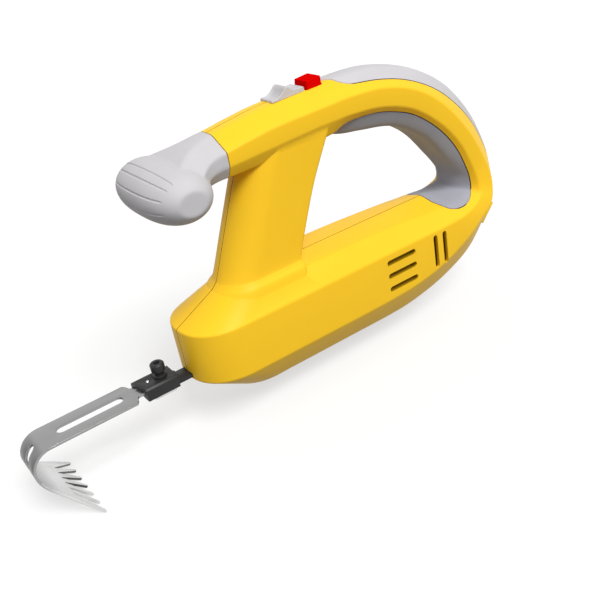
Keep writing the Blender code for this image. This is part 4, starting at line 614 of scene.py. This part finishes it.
# %% Strut
STRUT_HALF, STRUT_NOSE, STRUT_CORNER = 24.5, 26.0, 4.5
STRUT_RISE = [(44.0, 84.6, 152.0, 6.0), (52.0, 88.2, 156.0, 4.0), (56.5, 90.2, 158.0, 1.2),
              (62.0, 92.7, 160.0, 0.0), (90.0, 105.2, 171.5, 0.0), (117.0, 117.3, 184.0, 0.0),
              (145.0, 129.8, 200.0, 0.0), (160.0, 136.5, 209.0, 0.0)]


def strut_outline(row, wall, steps):
    """One level of the strut, moved inward by a wall."""
    height, front, rear, flare = row
    grow = flare - wall
    half, nose = STRUT_HALF + grow, STRUT_NOSE + grow
    side = []
    for i in range(2 * steps + 1):
        angle = math.pi / 2 * i / (2 * steps)
        side.append((front - grow + nose * (1 - math.cos(angle)), half * math.sin(angle)))
    for i in range(steps + 1):
        angle = math.pi / 2 * i / steps
        side.append((rear + grow - STRUT_CORNER * (1 - math.sin(angle)),
                     half - STRUT_CORNER * (1 - math.cos(angle))))
    mirrored = [(x, -y) for x, y in reversed(side[1:])]
    return [Vector((x, y, height)) for x, y in side + mirrored]


def strut(wall=0.0, steps=8, fineness=6):
    """Strut as a closed loft."""
    return lofted([strut_outline(row, wall, steps) for row in rows_of(STRUT_RISE, fineness)])


# %% [markdown]
# The tool is hollow: two shells with walls of three millimetres. The inside form follows the
# same sections with each corner drawn in by the wall. It is never seen from close, so it
# stays coarse.

# %% Inside form
WALL, OVERRUN = 3.0, 5.0


def drawn_in(half, flat, rise, wall):
    """Half width, crease shift, flat edge and rise of a chamfer moved inward."""
    run = half - flat
    length = math.hypot(run, rise)
    crease = -wall * run / length + (wall - wall * rise / length) / run * rise
    reach = (rise - wall + wall * run / length) / rise
    return half - wall, crease, max(half - wall * rise / length - reach * run, 1.0), rise - wall


def inside_corners(section, wall=WALL):
    """Ten corners of a section's hollow."""
    outer, inner, up = creases(section)
    half, rise, flat, drop, belly, crown, sag = section[4:]
    across = Vector((0, 1, 0))
    side, crease, edge, top = drawn_in(half, flat, rise, wall)
    low_side, low_crease, low_edge, low = drawn_in(half, belly, drop, wall)
    near = [outer + up * top + across * edge, outer + up * crease + across * side,
            inner - up * low_crease + across * low_side, inner - up * low + across * low_edge]
    return ring_of(outer + up * (top + crown), near, inner - up * (low + sag))


def inside_form():
    """Hollow of boom, loop, body, nose and strut."""
    rings = body_rings(range(4, 17), 2, 1, inside_corners)
    for point in rings[0]:
        point.x -= OVERRUN
    floor_edge = drawn_in(BODY_HALF, FLOOR_HALF, FLOOR_RISE, WALL)
    roof_edge = drawn_in(BODY_HALF, ROOF_HALF, ROOF_RISE, WALL)
    outlines = [(89.0, 32.0, floor_edge[2], FLOOR_Z + WALL, 0.0),
                (51.4, 39.0, BODY_HALF - WALL, LOWER_CREASE_Z - floor_edge[1], 0.0),
                (51.4, 39.0, BODY_HALF - WALL, UPPER_CREASE_Z + roof_edge[1], 0.0),
                (88.0, 32.0, roof_edge[2], ROOF_Z - WALL, ROOF_CROWN)]
    rings += [nose_corners(step / 9, outlines, WALL) for step in range(8, -1, -1)]
    return carve(lofted(rings, folded=True), "UNION", strut(WALL, 3, 1))


# %% [markdown]
# Two soft inlays line the handle loop. They lie flush in recesses, so their outer faces are
# read off the same sections as the shell: at any distance from the mid plane the helper
# gives the point on the eased outline. The upper inlay starts in a point behind the red
# button and ends in a round tongue low on the loop's back.

# %% Upper inlay
GRIP_DEPTH, SEAM, RECESS_TOP = 1.4, 0.3, 1.5
UPPER_WIDTHS = [(3.56, 1.5), (3.7, 4.5), (3.85, 7.5), (4.0, 11.5), (4.25, 15.8), (4.5, 17.6),
                (5.0, 18.6), (5.5, 19.0), (6.0, 19.0), (6.5, 19.0), (7.0, 18.4), (7.5, 17.6),
                (8.0, 16.8), (8.5, 15.6), (9.0, 14.6), (9.5, 13.6), (10.0, 12.8), (10.5, 12.0),
                (11.0, 10.5), (11.4, 8.0), (11.62, 4.0)]


def on_skin(section, across, inside, lift=0.0):
    """Point of the eased outline at a distance from the mid plane."""
    outer, inner, up = creases(section)
    base, way = (inner, -up) if inside else (outer, up)
    ring = eased(corners_of(section), 7)
    line = sorted((abs(p.y), (p - base).dot(way)) for p in ring
                  if (p - base).dot(way) > -2.0 and p.y > -0.01)
    reach = abs(across)
    height = line[-1][1]
    for (near, low), (far, high) in zip(line, line[1:]):
        if reach <= far:
            height = low + (high - low) * (reach - near) / max(far - near, 1e-6)
            break
    return base + way * (height + lift) + Vector((0, across, 0))


def band(table, steps, inside, grow=0.0, top=0.0, spread=12):
    """Rows of a band that follows the skin, grown sideways and downwards."""
    rows = []
    for place, wide, *_ in rows_of(table, steps):
        section = between(SECTIONS, place)
        shares = [(wide + grow) * k / spread for k in range(-spread, spread + 1)]
        rows.append([on_skin(section, y, inside, top) for y in shares]
                    + [on_skin(section, y, inside, -GRIP_DEPTH - grow) for y in reversed(shares)])
    return rows


def recess(table, steps, inside):
    """Tool for the shallow bed that an inlay lies in, a seam wider all round."""
    rows = band(table, steps, inside, SEAM, RECESS_TOP)
    for end, beside in ((rows[0], rows[1]), (rows[-1], rows[-2])):
        step = (end[0] - beside[0]).normalized() * SEAM
        step.y = 0.0
        for point in end:
            point += step
    return lofted(rows)


finish_piece(lofted(band(UPPER_WIDTHS, 4, False)), "loop_top_inlay", "housing",
             "light_grey_grip", "upper_grip")

# %% [markdown]
# The inner inlay is a thick cushion: full and round under the fingers, it runs down the
# loop's inside and spreads over the body's roof as a flush lip. Its rows name the place along
# the loop, the half width, and the point that the cushion reaches in the mid plane. Where
# two mouldings meet, a fine deep slot follows the edge square to the skin: the dark line.

# %% Inner inlay
INNER_ROWS = [
    (3.05, 3.5, 207.0, 143.4), (3.3, 7.5, 212.5, 141.6), (3.6, 11.0, 218.0, 140.0),
    (4.0, 15.0, 224.0, 138.8), (4.25, 17.8, 230.0, 138.2), (4.5, 19.4, 236.0, 137.6),
    (5.0, 20.6, 246.5, 136.0), (5.5, 21.1, 258.5, 134.2), (6.0, 21.3, 271.0, 131.0),
    (6.5, 21.8, 282.0, 126.0), (7.0, 22.2, 292.0, 120.0), (7.5, 22.5, 301.5, 113.0),
    (8.0, 22.5, 310.0, 105.0), (8.5, 22.4, 318.0, 95.5), (9.0, 22.2, 325.5, 85.7),
    (9.5, 22.0, 332.5, 76.0), (10.0, 21.8, 337.3, 68.0), (10.5, 21.7, 339.5, 63.5),
    (11.0, 21.6, 339.7, 60.0), (11.5, 21.6, 338.6, 57.2), (12.0, 22.0, 336.6, 55.4),
    (12.5, 23.0, 334.0, 54.4), (13.0, 25.0, 331.0, 53.9), (13.5, 28.0, 326.0, 53.6),
    (14.0, 30.0, 320.0, 53.5), (14.5, 30.2, 315.5, 53.6), (15.0, 28.0, 310.8, 53.8),
    (15.2, 24.0, 308.0, 53.8), (15.4, 14.0, 305.4, 53.8),
]
FLANK_FROM, FLANK_SPAN, LIP_FROM, LIP_SPAN = 9.0, 3.0, 11.0, 2.8


def inner_inlay(steps=3, spread=12):
    """Cushion on the loop's inner face that ends as a lip on the roof."""
    rows = []
    shares = [math.sin(math.pi / 2 * k / spread) for k in range(-spread, spread + 1)]
    for place, wide, x, z in rows_of(INNER_ROWS, steps):
        section = between(SECTIONS, place)
        edge = on_skin(section, wide, True)
        foot = Vector((edge.x, 0, edge.z))
        rise = Vector((x, 0, z)) - foot
        flank = 0.36 + 0.5 * min(max((place - FLANK_FROM) / FLANK_SPAN, 0), 1)
        lip = min(max((place - LIP_FROM) / LIP_SPAN, 0), 1)
        lip = lip * lip * (3 - 2 * lip)
        front = []
        for s in shares:
            full = foot + rise * (1 - max(1 - (1 - abs(s)) / flank, 0.0)**1.6)
            flush = on_skin(section, s * wide, True)
            front.append((full + Vector((0, s * wide, 0))).lerp(flush, lip))
        rows.append(front + [on_skin(section, s * wide, True, -GRIP_DEPTH)
                             for s in reversed(shares)])
    return lofted(rows)


def skin_normal(place, across, inside):
    """Outward normal of the body's skin beside an inlay."""
    section = between(SECTIONS, place)
    here = on_skin(section, across + 0.4, inside) - on_skin(section, across - 0.4, inside)
    along = (on_skin(between(SECTIONS, place + 0.03), across, inside)
             - on_skin(between(SECTIONS, place - 0.03), across, inside))
    normal = here.cross(along).normalized()
    out = creases(section)[2] * (-1 if inside else 1)
    return normal if normal.dot(out) > 0 else -normal


def seam_slot(table, steps, inside, side):
    """Narrow slot that follows one edge of an inlay from mid plane to mid plane."""
    rows = [tuple(row[:2]) for row in rows_of(table, steps)]
    ends = [[(place, wide * k / 4) for k in range(4)] for place, wide in (rows[0], rows[-1])]
    path = []
    for place, across in ends[0] + rows + ends[1][::-1]:
        y = side * across if across else -side * 0.3
        path.append((on_skin(between(SECTIONS, place), y, inside), skin_normal(place, y, inside)))
    rings = []
    for index, (point, normal) in enumerate(path):
        before, after = path[max(index - 1, 0)][0], path[min(index + 1, len(path) - 1)][0]
        across = (after - before).cross(normal).normalized()
        rise = across.cross(after - before).normalized()
        rings.append([point - rise * SLOT_SINK + across * math.cos(a) * SLOT_HALF
                      + rise * math.sin(a) * SLOT_DEEP
                      for a in (math.tau * (k + 0.5) / 8 for k in range(8))])
    return lofted(rings)


SLOT_HALF, SLOT_DEEP, SLOT_SINK = 1.05, 1.9, 0.3
INLAYS = [(UPPER_WIDTHS, 4, False), (INNER_ROWS, 3, True)]
recesses = [recess(*inlay) for inlay in INLAYS]
seam_slots = [seam_slot(*inlay, side) for inlay in INLAYS for side in (-1, 1)]
finish_piece(inner_inlay(), "loop_inner_inlay", "housing", "inner_grip_grey", "inner_grip")

# %% [markdown]
# Now the shell itself: outer form and strut joined, the hollow taken away, then the recesses,
# and last the form is parted in two at the mid plane with a hair line of 0.6 mm between the
# halves, as two mouldings have.

# %% Shell form
shell = carve(outer_body(), "UNION", strut())
carve(shell, "DIFFERENCE", inside_form())
carve(shell, "DIFFERENCE", *recesses)
carve(shell, "DIFFERENCE", *seam_slots)
print("shell", len(shell.data.polygons), "faces")

# %% [markdown]
# Each half has its openings: three blind louvres, backed by a pad, and two slots for air,
# the slots for plunger, slide and button, the socket opening, and on the far half the deep
# counterbores of the screws. Slots with round ends are lofted through the wall.

# %% Openings of the halves
SCREW_PLACES = [(64.0, 22.0), (162.0, -18.0), (270.0, -14.0), (356.0, 68.0), (303.0, 141.0),
                (240.0, 163.0), (150.0, 160.0)]
SEATS = [20.0, 20.0, 20.0, 14.0, 14.0, 14.0, 14.0]
SOCKET = Vector((368.6, 0.0, 17.4))
SOCKET_ALONG = Vector((0.682, 0.0, 0.731))
SOCKET_OUT = Vector((0.731, 0.0, -0.682))
HINGE = (-13.6, 3.0)
HINGE_LINE = SOCKET + SOCKET_ALONG * HINGE[0] + SOCKET_OUT * HINGE[1]
GRIP_SCREW = (119.0, 0, 158.0)
BEYOND, PARTING = 44, 0.3


def round_slot(start, end, half, near, far, upright, steps=10):
    """Slot with round ends through a side wall."""
    outline = []
    for centre, first in ((end - half, -math.pi / 2), (start + half, math.pi / 2)):
        for i in range(steps + 1):
            angle = first + math.pi * i / steps
            outline.append((centre + half * math.cos(angle), half * math.sin(angle)))
    return lofted([[Vector((upright + b, y, a)) if start < 0 else Vector((a, y, upright + b))
                    for a, b in outline] for y in (near, far)])


def socket_block(low, high, radius=0.0):
    """Block in the axes of the slanted rear face: along it, across it and out of it."""
    bm = block(low, high, radius)
    axes_of_face = Matrix((SOCKET_ALONG, (0, 1, 0), SOCKET_OUT)).transposed().to_4x4()
    bmesh.ops.transform(bm, verts=bm.verts, matrix=Matrix.Translation(SOCKET) @ axes_of_face)
    return bm


def openings(side):
    """Tools that cut one half."""
    outside = side * BEYOND
    tools = [round_slot(231, 263, 2.6, side * (BODY_HALF - 6.0), outside, z)
             for z in (25.9, 13.6, 1.0)]
    tools += [round_slot(-1, 31, 2.3, side * 30, outside, x) for x in (286.5, 297.3)]
    blocks = [block((44, -8, -8.2), (60, 8, -3.3), 0.6, 0),
              block((167.5, -4.4, 170), (184.5, 4.4, 190), 0.8),
              block((197.1, -8.9, 172), (213.3, 8.9, 195), 1.2),
              socket_block((-5.5, -8.3, -9.0), (5.5, 8.3, 8.0), 1.0),
              rod(1.3, -9.8, 9.8, HINGE_LINE, "Y")]
    if side > 0:
        blocks += [rod(3.4, seat, BEYOND, (x, 0, z), "Y")
                   for (x, z), seat in zip(SCREW_PLACES, SEATS)]
        blocks.append(rod(3.4, 24.9, BEYOND, GRIP_SCREW, "Y"))
    return tools + [solid(bm) for bm in blocks]


for low, high in ((-8.9, -5.9), (5.9, 8.9)):
    lug = socket_block((HINGE[0] - 2.4, low, -1.0), (HINGE[0] + 2.4, high, HINGE[1]))
    carve(shell, "UNION", solid(lug), solid(rod(2.4, low, high, HINGE_LINE, "Y")))
for side in (-1, 1):
    low, high = sorted((side * (BODY_HALF - 7.5), side * (BODY_HALF - 1.5)))
    carve(shell, "UNION", solid(block((227, low, -4.5), (267, high, 31.5))))
far_half = added("far", shell.data.copy())
carve(shell, "DIFFERENCE", solid(block((0, -PARTING, -60), (420, 60, 220))), *openings(-1))
carve(far_half, "DIFFERENCE", solid(block((0, -60, -60), (420, PARTING, 220))), *openings(1))
finish_piece(shell, "left_shell", "housing", "yellow_shell", "left_housing")
finish_piece(far_half, "right_shell", "housing", "yellow_shell", "right_housing")

# %% [markdown]
# The front grip is one soft moulding: a barrel across the tool with flat ends, and a neck
# that flares into it. Barrel and neck are joined as plain forms first. A fine even net is
# then laid over them and relaxed, as rubber rounds off in the mould, and only after that is
# the joint to the boom cut square and the grooves for the palm are milled in.

# %% Front grip
BAR_CENTRE, BAR_SIZE, BAR_END = Vector((67.65, 0.0, 145.5)), (26.9, 50.0, 21.0), 47.9
BAR_POWER = 0.77
JOINT_X = BOOM_FRONT_X - SEAM
NECK = [
    (118.0, BOOM_HALF, 163.8, 152.8, 8.5, 174.0, 21.0, 143.2),
    (JOINT_X, BOOM_HALF, 163.8, 152.8, 8.5, 174.0, 21.0, 143.2),
    (104.5, 26.3, 163.2, 152.4, 8.8, 173.4, 20.6, 143.0),
    (98.0, 27.2, 161.8, 151.4, 9.8, 172.2, 20.4, 142.2),
    (92.0, 30.2, 159.8, 149.8, 12.2, 170.7, 20.4, 140.8),
    (86.0, 34.8, 157.0, 147.8, 15.8, 168.9, 20.0, 138.8),
    (80.0, 39.6, 153.8, 145.8, 20.4, 167.0, 19.0, 136.8),
    (74.0, 42.0, 151.4, 144.0, 25.2, 165.0, 18.0, 135.2),
    (68.0, 42.4, 149.4, 142.4, 28.4, 162.6, 17.0, 134.2),
]


def signed_power(value, power):
    """Power of the size of a number, with its sign kept."""
    return math.copysign(abs(value)**power, value)


def neck_corners(row):
    """Ten corners of one section of the neck."""
    x, half, upper, lower, flat, top, belly, bottom = row
    side = [Vector((x, y, z)) for y, z in ((flat, top), (half, upper), (half, lower),
                                           (belly, bottom))]
    return ring_of(Vector((x, 0.0, top + 0.5)), side, Vector((x, 0.0, bottom - 0.5)))


def trim(bm, place, normal):
    """Cut away what lies beyond a plane and fill the cut."""
    cut = bmesh.ops.bisect_plane(bm, geom=[*bm.verts, *bm.edges, *bm.faces], dist=0.001,
                                 clear_outer=True, plane_co=place, plane_no=normal)
    rim = [g for g in cut["geom_cut"] if isinstance(g, bmesh.types.BMEdge)]
    bmesh.ops.edgeloop_fill(bm, edges=rim)


def barrel():
    """Superellipsoid with its long axis across the tool, ends cut flat."""
    bm = bmesh.new()
    bmesh.ops.create_uvsphere(bm, u_segments=64, v_segments=48, radius=1.0)
    for vert in bm.verts:
        lean = math.asin(max(-1.0, min(1.0, vert.co.z)))
        turn = math.atan2(vert.co.y, vert.co.x)
        ring = signed_power(math.cos(lean), BAR_POWER)
        vert.co = BAR_CENTRE + Vector((BAR_SIZE[0] * math.cos(turn) * ring,
                                       BAR_SIZE[1] * signed_power(math.sin(lean), BAR_POWER),
                                       BAR_SIZE[2] * math.sin(turn) * ring))
    for side in (-1, 1):
        trim(bm, (0, side * BAR_END, 0), (0, side, 0))
    return solid(bm)


def relaxed(made, pitch, rounds):
    """Even net of a given pitch laid over a solid, then smoothed."""
    net = made.modifiers.new("net", "REMESH")
    net.mode, net.voxel_size = "VOXEL", pitch
    ease = made.modifiers.new("ease", "SMOOTH")
    ease.factor, ease.iterations = 0.5, rounds
    return carve(made, "UNION")


def groove(turn, radius=1.15, half=41.0, steps=36):
    """Tool that runs along the barrel at one angle and fades out at both ends."""
    rows = []
    for i in range(steps + 1):
        y = -half + 2 * half * i / steps
        lean = min(abs(y) / BAR_SIZE[1], 1.0)**(1 / BAR_POWER)
        ring = (1 - lean * lean)**(BAR_POWER / 2)
        out = Vector((BAR_SIZE[0] * math.cos(turn), 0, BAR_SIZE[2] * math.sin(turn)))
        place = BAR_CENTRE + out * ring + Vector((0, y, 0))
        normal = Vector((math.cos(turn) / BAR_SIZE[0], 0,
                         math.sin(turn) / BAR_SIZE[2])).normalized()
        sideways = Vector((0, 1, 0)).cross(normal)
        size = radius * min((half - abs(y)) / 5 + 0.1, 1.0)
        centre = place + normal * radius * 0.3
        rows.append([centre + (normal * math.cos(a) + sideways * math.sin(a)) * size
                     for a in (math.tau * k / 12 for k in range(12))])
    return lofted(rows)


grip = barrel()
carve(grip, "UNION", lofted([eased(neck_corners(row)) for row in rows_of(NECK, 4)]))
relaxed(grip, pitch=0.8, rounds=11)
bm = bmesh.new()
bm.from_mesh(grip.data)
trim(bm, (JOINT_X - 0.4, 0, 0), (1, 0, 0))
bm.to_mesh(grip.data)
bm.free()
spigot_rows = [inside_corners(between(SECTIONS, place), WALL + SEAM) for place in (0.0, 0.4)]
for point in spigot_rows[0]:
    point.x -= OVERRUN
carve(grip, "UNION", lofted(spigot_rows))
carve(grip, "DIFFERENCE", solid(rod(1.8, 6.0, 40.0, GRIP_SCREW, "Y")),
      *[groove(math.radians(turn)) for turn in (113, 131, 158, 190)])
finish_piece(grip, "cross_grip", "housing", "light_grey_grip", "front_grip", crisp=38)

# %% [markdown]
# The slide under the thumb has a hollow ramp with raised edges, a crest to push against and
# a low rear pad with an oval dish. It is lofted across its width: every row is the same
# side outline, only pressed down where the ramp and the dish lie.

# %% Slide switch
SLIDE_LINE = [(166.0, 181.3), (166.1, 182.1), (167.0, 182.7), (170.0, 182.7), (172.8, 183.4),
              (175.0, 184.7), (177.0, 186.3), (178.8, 188.1), (180.2, 188.9), (181.6, 189.1),
              (182.9, 188.4), (184.2, 187.0), (185.8, 185.8), (188.0, 185.3), (192.0, 185.3),
              (195.4, 185.3), (196.0, 184.4)]
SLIDE_HALF, SLIDE_EDGE = 8.4, 0.5
RAMP_X, RAMP_REACH, RAMP_HALF, RAMP_DEEP = 174.5, 6.5, 7.0, 1.2
DISH_X, DISH_REACH, DISH_HALF, DISH_DEEP = 190.6, 4.2, 5.6, 0.9


def slide_row(y):
    """Side outline at a distance from the mid plane."""
    row = []
    for x, z in rows_of(SLIDE_LINE, 4):
        ramp = max(1 - abs((x - RAMP_X) / RAMP_REACH)**2.5, 0) * max(1 - abs(y / RAMP_HALF)**6, 0)
        dish = max(1 - ((x - DISH_X) / DISH_REACH)**2 - (y / DISH_HALF)**2, 0)**0.5
        side = max(abs(y) - SLIDE_HALF + SLIDE_EDGE, 0)
        row.append(Vector((x, y, z - RAMP_DEEP * ramp - DISH_DEEP * dish - side)))
    return row + [Vector((196.0, y, 181.9)), Vector((166.0, y, 180.8))]


widths = [SLIDE_HALF * math.sin(math.pi / 2 * k / 14) for k in range(-14, 15)]
slide = lofted([slide_row(y) for y in widths])
carve(slide, "UNION", solid(block((173, -4, 174), (184, 4, 181.5))),
      solid(block((171, -6.5, 172), (186, 6.5, 176))))
finish_piece(slide, "thumb_slide", "switch_slide", "light_grey_grip", "slide_switch", crisp=40)

# %% [markdown]
# The red button behind it is a moulded cap: its front face leans back, its upright corners
# are round and its top edge is softly broken. A flange keeps it inside the boom, and a
# pocket from below takes the spring.

# %% Red button
cap = block((197.4, -8.6, 175.4), (213.0, 8.6, 189.1))
for vert in cap.verts:
    if vert.co.z > 180 and vert.co.x < 200:
        vert.co += Vector((1.9, 0.0, -1.1))
    elif vert.co.z > 180:
        vert.co.x -= 0.5
upright = [e for e in cap.edges if abs(e.verts[0].co.z - e.verts[1].co.z) > 10]
soften(cap, upright, 0.9, 5)
rim = [e for e in cap.edges if min(v.co.z for v in e.verts) > 187.7]
soften(cap, rim, 0.45, 4)
button = solid(cap)
carve(button, "UNION", solid(block((195.8, -9.6, 175.0), (214.6, 9.6, 176.8))))
carve(button, "DIFFERENCE", solid(rod(4.32, 170.0, 182.7, (205.2, 0, 0))))
finish_piece(button, "button_cap", "button", "red_button", "lock_button")

# %% [markdown]
# The steel and small plastic pieces already have their right shape in the working model.
# A copy of each is merged into one skin, its flat faces are cleaned, and its edges get the
# small break that stamping, turning or moulding leaves, so that they catch a line of light.

# %% Broken edges on the small pieces
def broken(node, name, body, slot, width):
    """Copy of a working part with small rounded edges."""
    source = frame["nodes"][node]
    bm = bmesh.new()
    bm.from_mesh(source.data)
    bmesh.ops.transform(bm, verts=bm.verts, matrix=source.matrix_world)
    bmesh.ops.remove_doubles(bm, verts=bm.verts, dist=0.000004)
    bmesh.ops.dissolve_limit(bm, angle_limit=math.radians(1.0), verts=bm.verts, edges=bm.edges)
    corners = [e for e in bm.edges if len(e.link_faces) == 2
               and e.calc_face_angle(0.0) > math.radians(30.0)]
    soften(bm, corners, width * MM, 2, clamp_overlap=True)
    finish_piece(placed(bm, name), name, body, slot, node, crisp=44.0, matrix=Matrix.Identity(4))


SMALL_PIECES = [
    ("blade", "weeding_blade", "blade_carriage", "blade_steel", 0.25),
    ("blade_clamp", "clamp_channel", "blade_carriage", "black_steel", 0.3),
    ("plunger", "plunger_bar", "blade_carriage", "black_steel", 0.2),
    ("locating_pin", "clamp_dowel", "blade_carriage", "bright_steel", 0.1),
    ("thumb_screw", "clamp_knob", "clamp_screw", "black_steel", 0.25),
    ("charge_port_cover", "socket_cover", "port_cover", "yellow_shell", 0.3),
]
for entry in SMALL_PIECES:
    broken(*entry)

# %% [markdown]
# Eight self tapping screws close the shells from the far side. Their pan heads sit deep in
# the counterbores and have a cross recess for the driver.

# %% Screw heads
def screw_piece(name, node, x, z, seat, low, head, top):
    """Turned screw with a cross recess in its head."""
    profile = [(0, low), (1.1, low), (1.5, low + 1.0), (1.5, seat), (head, seat),
               (head, top - 0.9), (head - 0.3, top - 0.4), (head - 0.9, top), (0, top)]
    made = solid(spun(profile, (x, 0, z), "Y", 40))
    arms = [solid(block((x - a, top - 1.0, z - b), (x + a, top + 1.0, z + b)))
            for a, b in ((1.7, 0.4), (0.4, 1.7))]
    carve(made, "DIFFERENCE", *arms)
    finish_piece(made, name, "housing", "bright_steel", node)


for index, ((x, z), seat) in enumerate(zip(SCREW_PLACES, SEATS)):
    screw_piece(f"shell_screw_{index + 1}", f"housing_screw_{index + 1}", x, z, seat + 0.3,
                -11.0, 3.0, seat + 2.7)
screw_piece("grip_screw", "front_grip_screw", GRIP_SCREW[0], GRIP_SCREW[2], 25.2, 7.0, 2.9, 26.2)
